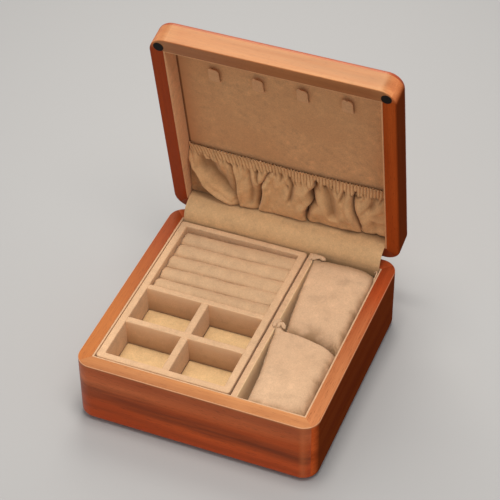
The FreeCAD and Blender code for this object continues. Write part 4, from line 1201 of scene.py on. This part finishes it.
        m = 0.85 + 0.35 * np.sin(np.pi * np.clip((ys - a) / (b - a), 0, 1))
        d = X - xc
        hw = np.where(d > 0, hr, hl) * m
        crisp = np.where(d > 0, hr <= hl, hr > hl)
        prof = np.where(crisp, np.exp(-np.abs(d / hw) ** 2.4), np.exp(-np.abs(d / hw) ** 1.5))
        low = 1 - 0.74 * smooth(ys, 91, 105)
        out -= depth * low * env * prof
        fold_shade += dark * env * prof ** 1.3 * (1 - 0.25 * smooth(ys, 95, 105))
        lip = np.where(d > 0, lip_r, lip_l) * (1 - 0.85 * smooth(ys, 88, 103))
        out += lip * env * np.exp(-((np.abs(d) - 2.3 * hw) / (1.5 * hw)) ** 2)
        if depth > 8:                           # the crisp side leans over the hollow
            side = 1 if hr <= hl else -1
            shift -= side * env * 1.9 * np.exp(-((d * side - 1.3 * min(hl, hr)) / (1.3 * min(hl, hr))) ** 2)
    # the rolled ridge that sweeps from the end of the elastic to the seam, and the slack hollow outside it
    py = np.array([44, 50, 55.9, 61, 67.3, 74.7, 80, 86.6, 94.1, 100.1, 104.0, 108.0])
    px = np.array([-105.0, -106.0, -106.2, -105.4, -103.0, -96.9, -93.6, -90.4, -84.0, -74.8, -64.0, -54.0])
    xr = np.interp(ys, py, px)
    slope = np.interp(ys, py, np.abs(np.gradient(px, py)))
    d = (X - xr) / np.sqrt(1 + slope ** 2)
    env = smooth(ys, 50, 60) * (1 - smooth(ys, 103.5, 107.0))
    out += 4.2 * env * np.exp(-(d / 2.5) ** 2) + 1.0 * env * np.exp(-((d - 6) / 4.0) ** 2)
    outside = smooth(-d, 1.0, 5.5) * smooth(ys, 56, 66) * (1 - smooth(ys, 101, 107))
    out -= 3.6 * outside
    fold_shade += 0.52 * smooth(-d, 1.6, 3.6) * smooth(ys, 52, 58) * (1 - 0.4 * smooth(-d, 6, 22))
    wall = (1 - smooth(X, -108.5, -106.0)) * (1 - smooth(ys, 50, 60))
    out -= 1.6 * wall
    fold_shade += 0.25 * smooth(ys, 101, 106)
    out = out * (1 - smooth(T, 0.90, 1.0))
    X2 = X + shift
    # direction of "towards the viewer": mostly -h, and +y round the belly
    tb = smooth(T, 0.76, 0.95)
    dy, dh = tb * 0.95, -(1 - tb * 0.80)
    ln = np.sqrt(dy ** 2 + dh ** 2)
    Y = ys + out * dy / ln * 0.35 + fbm(q, 0.05, 3.3, 2) * 0.7 * smooth(T, 0.3, 0.8) * (1 - smooth(T, .85, .95))
    Hh = hs + out * dh / ln
    # scalloped upper edge of the ruffle
    Y = Y - ridge * 0.8 * (1 - smooth(T, 0.0, 0.06))
    P = np.column_stack([X2, Y, Hh])
    # the cloth settles: a coarse copy is simulated, its movement carried to the fine one
    su, sv = slice(0, nx, 4), slice(0, ny, 2)
    G = P.reshape(nx, ny, 3)[su, sv]
    cu, cv = G.shape[:2]
    pin = np.zeros((cu, cv))
    pin[:, :8] = 1
    pin[:, -5:] = 1
    pin[0] = pin[-1] = 1
    sim = run_cloth(G.reshape(-1, 3), grid_faces(cu, cv), 10, pins=pin.ravel(), shrink=-0.03, tension=12, compression=6, shear=3, bending=0.15, quality=5)
    D = (sim - G.reshape(-1, 3)).reshape(cu, cv, 3)
    gi, gj = np.arange(nx) / 4, np.arange(ny) / 2
    gi, gj = np.minimum(gi, cu - 1.0001), np.minimum(gj, cv - 1.0001)
    i0, j0 = gi.astype(int), gj.astype(int)
    fi, fj = (gi - i0)[:, None, None], (gj - j0)[None, :, None]
    A, B, C, E = D[i0][:, j0], D[i0 + 1][:, j0], D[i0][:, j0 + 1], D[i0 + 1][:, j0 + 1]
    move = ((1 - fi) * (1 - fj) * A + fi * (1 - fj) * B + (1 - fi) * fj * C + fi * fj * E).reshape(-1, 3)
    ln = np.linalg.norm(move, axis=1)
    move *= (1.3 * np.tanh(ln / 1.3) / np.maximum(ln, 1e-9))[:, None]
    P = P + move
    P[:, 0] = np.clip(P[:, 0], -108.7, 108.7)
    P[:, 1] = np.minimum(P[:, 1], 107.3)
    P[:, 2] = np.clip(P[:, 2], 1.6, 20.3)
    v = lid_point(P[:, 0], P[:, 1], P[:, 2])
    f = grid_faces(nx, ny)
    o = new_object("pocket_suede", v, f, "suede_pocket", shade=fold_shade)
    m = o.modifiers.new("s", "SOLIDIFY")
    m.thickness = 0.0008
    m.offset = 0.0
    apply_modifiers(o)
    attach(o, "lid")
    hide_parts("pocket", "pocket_elastic")
    return o


make_pocket()
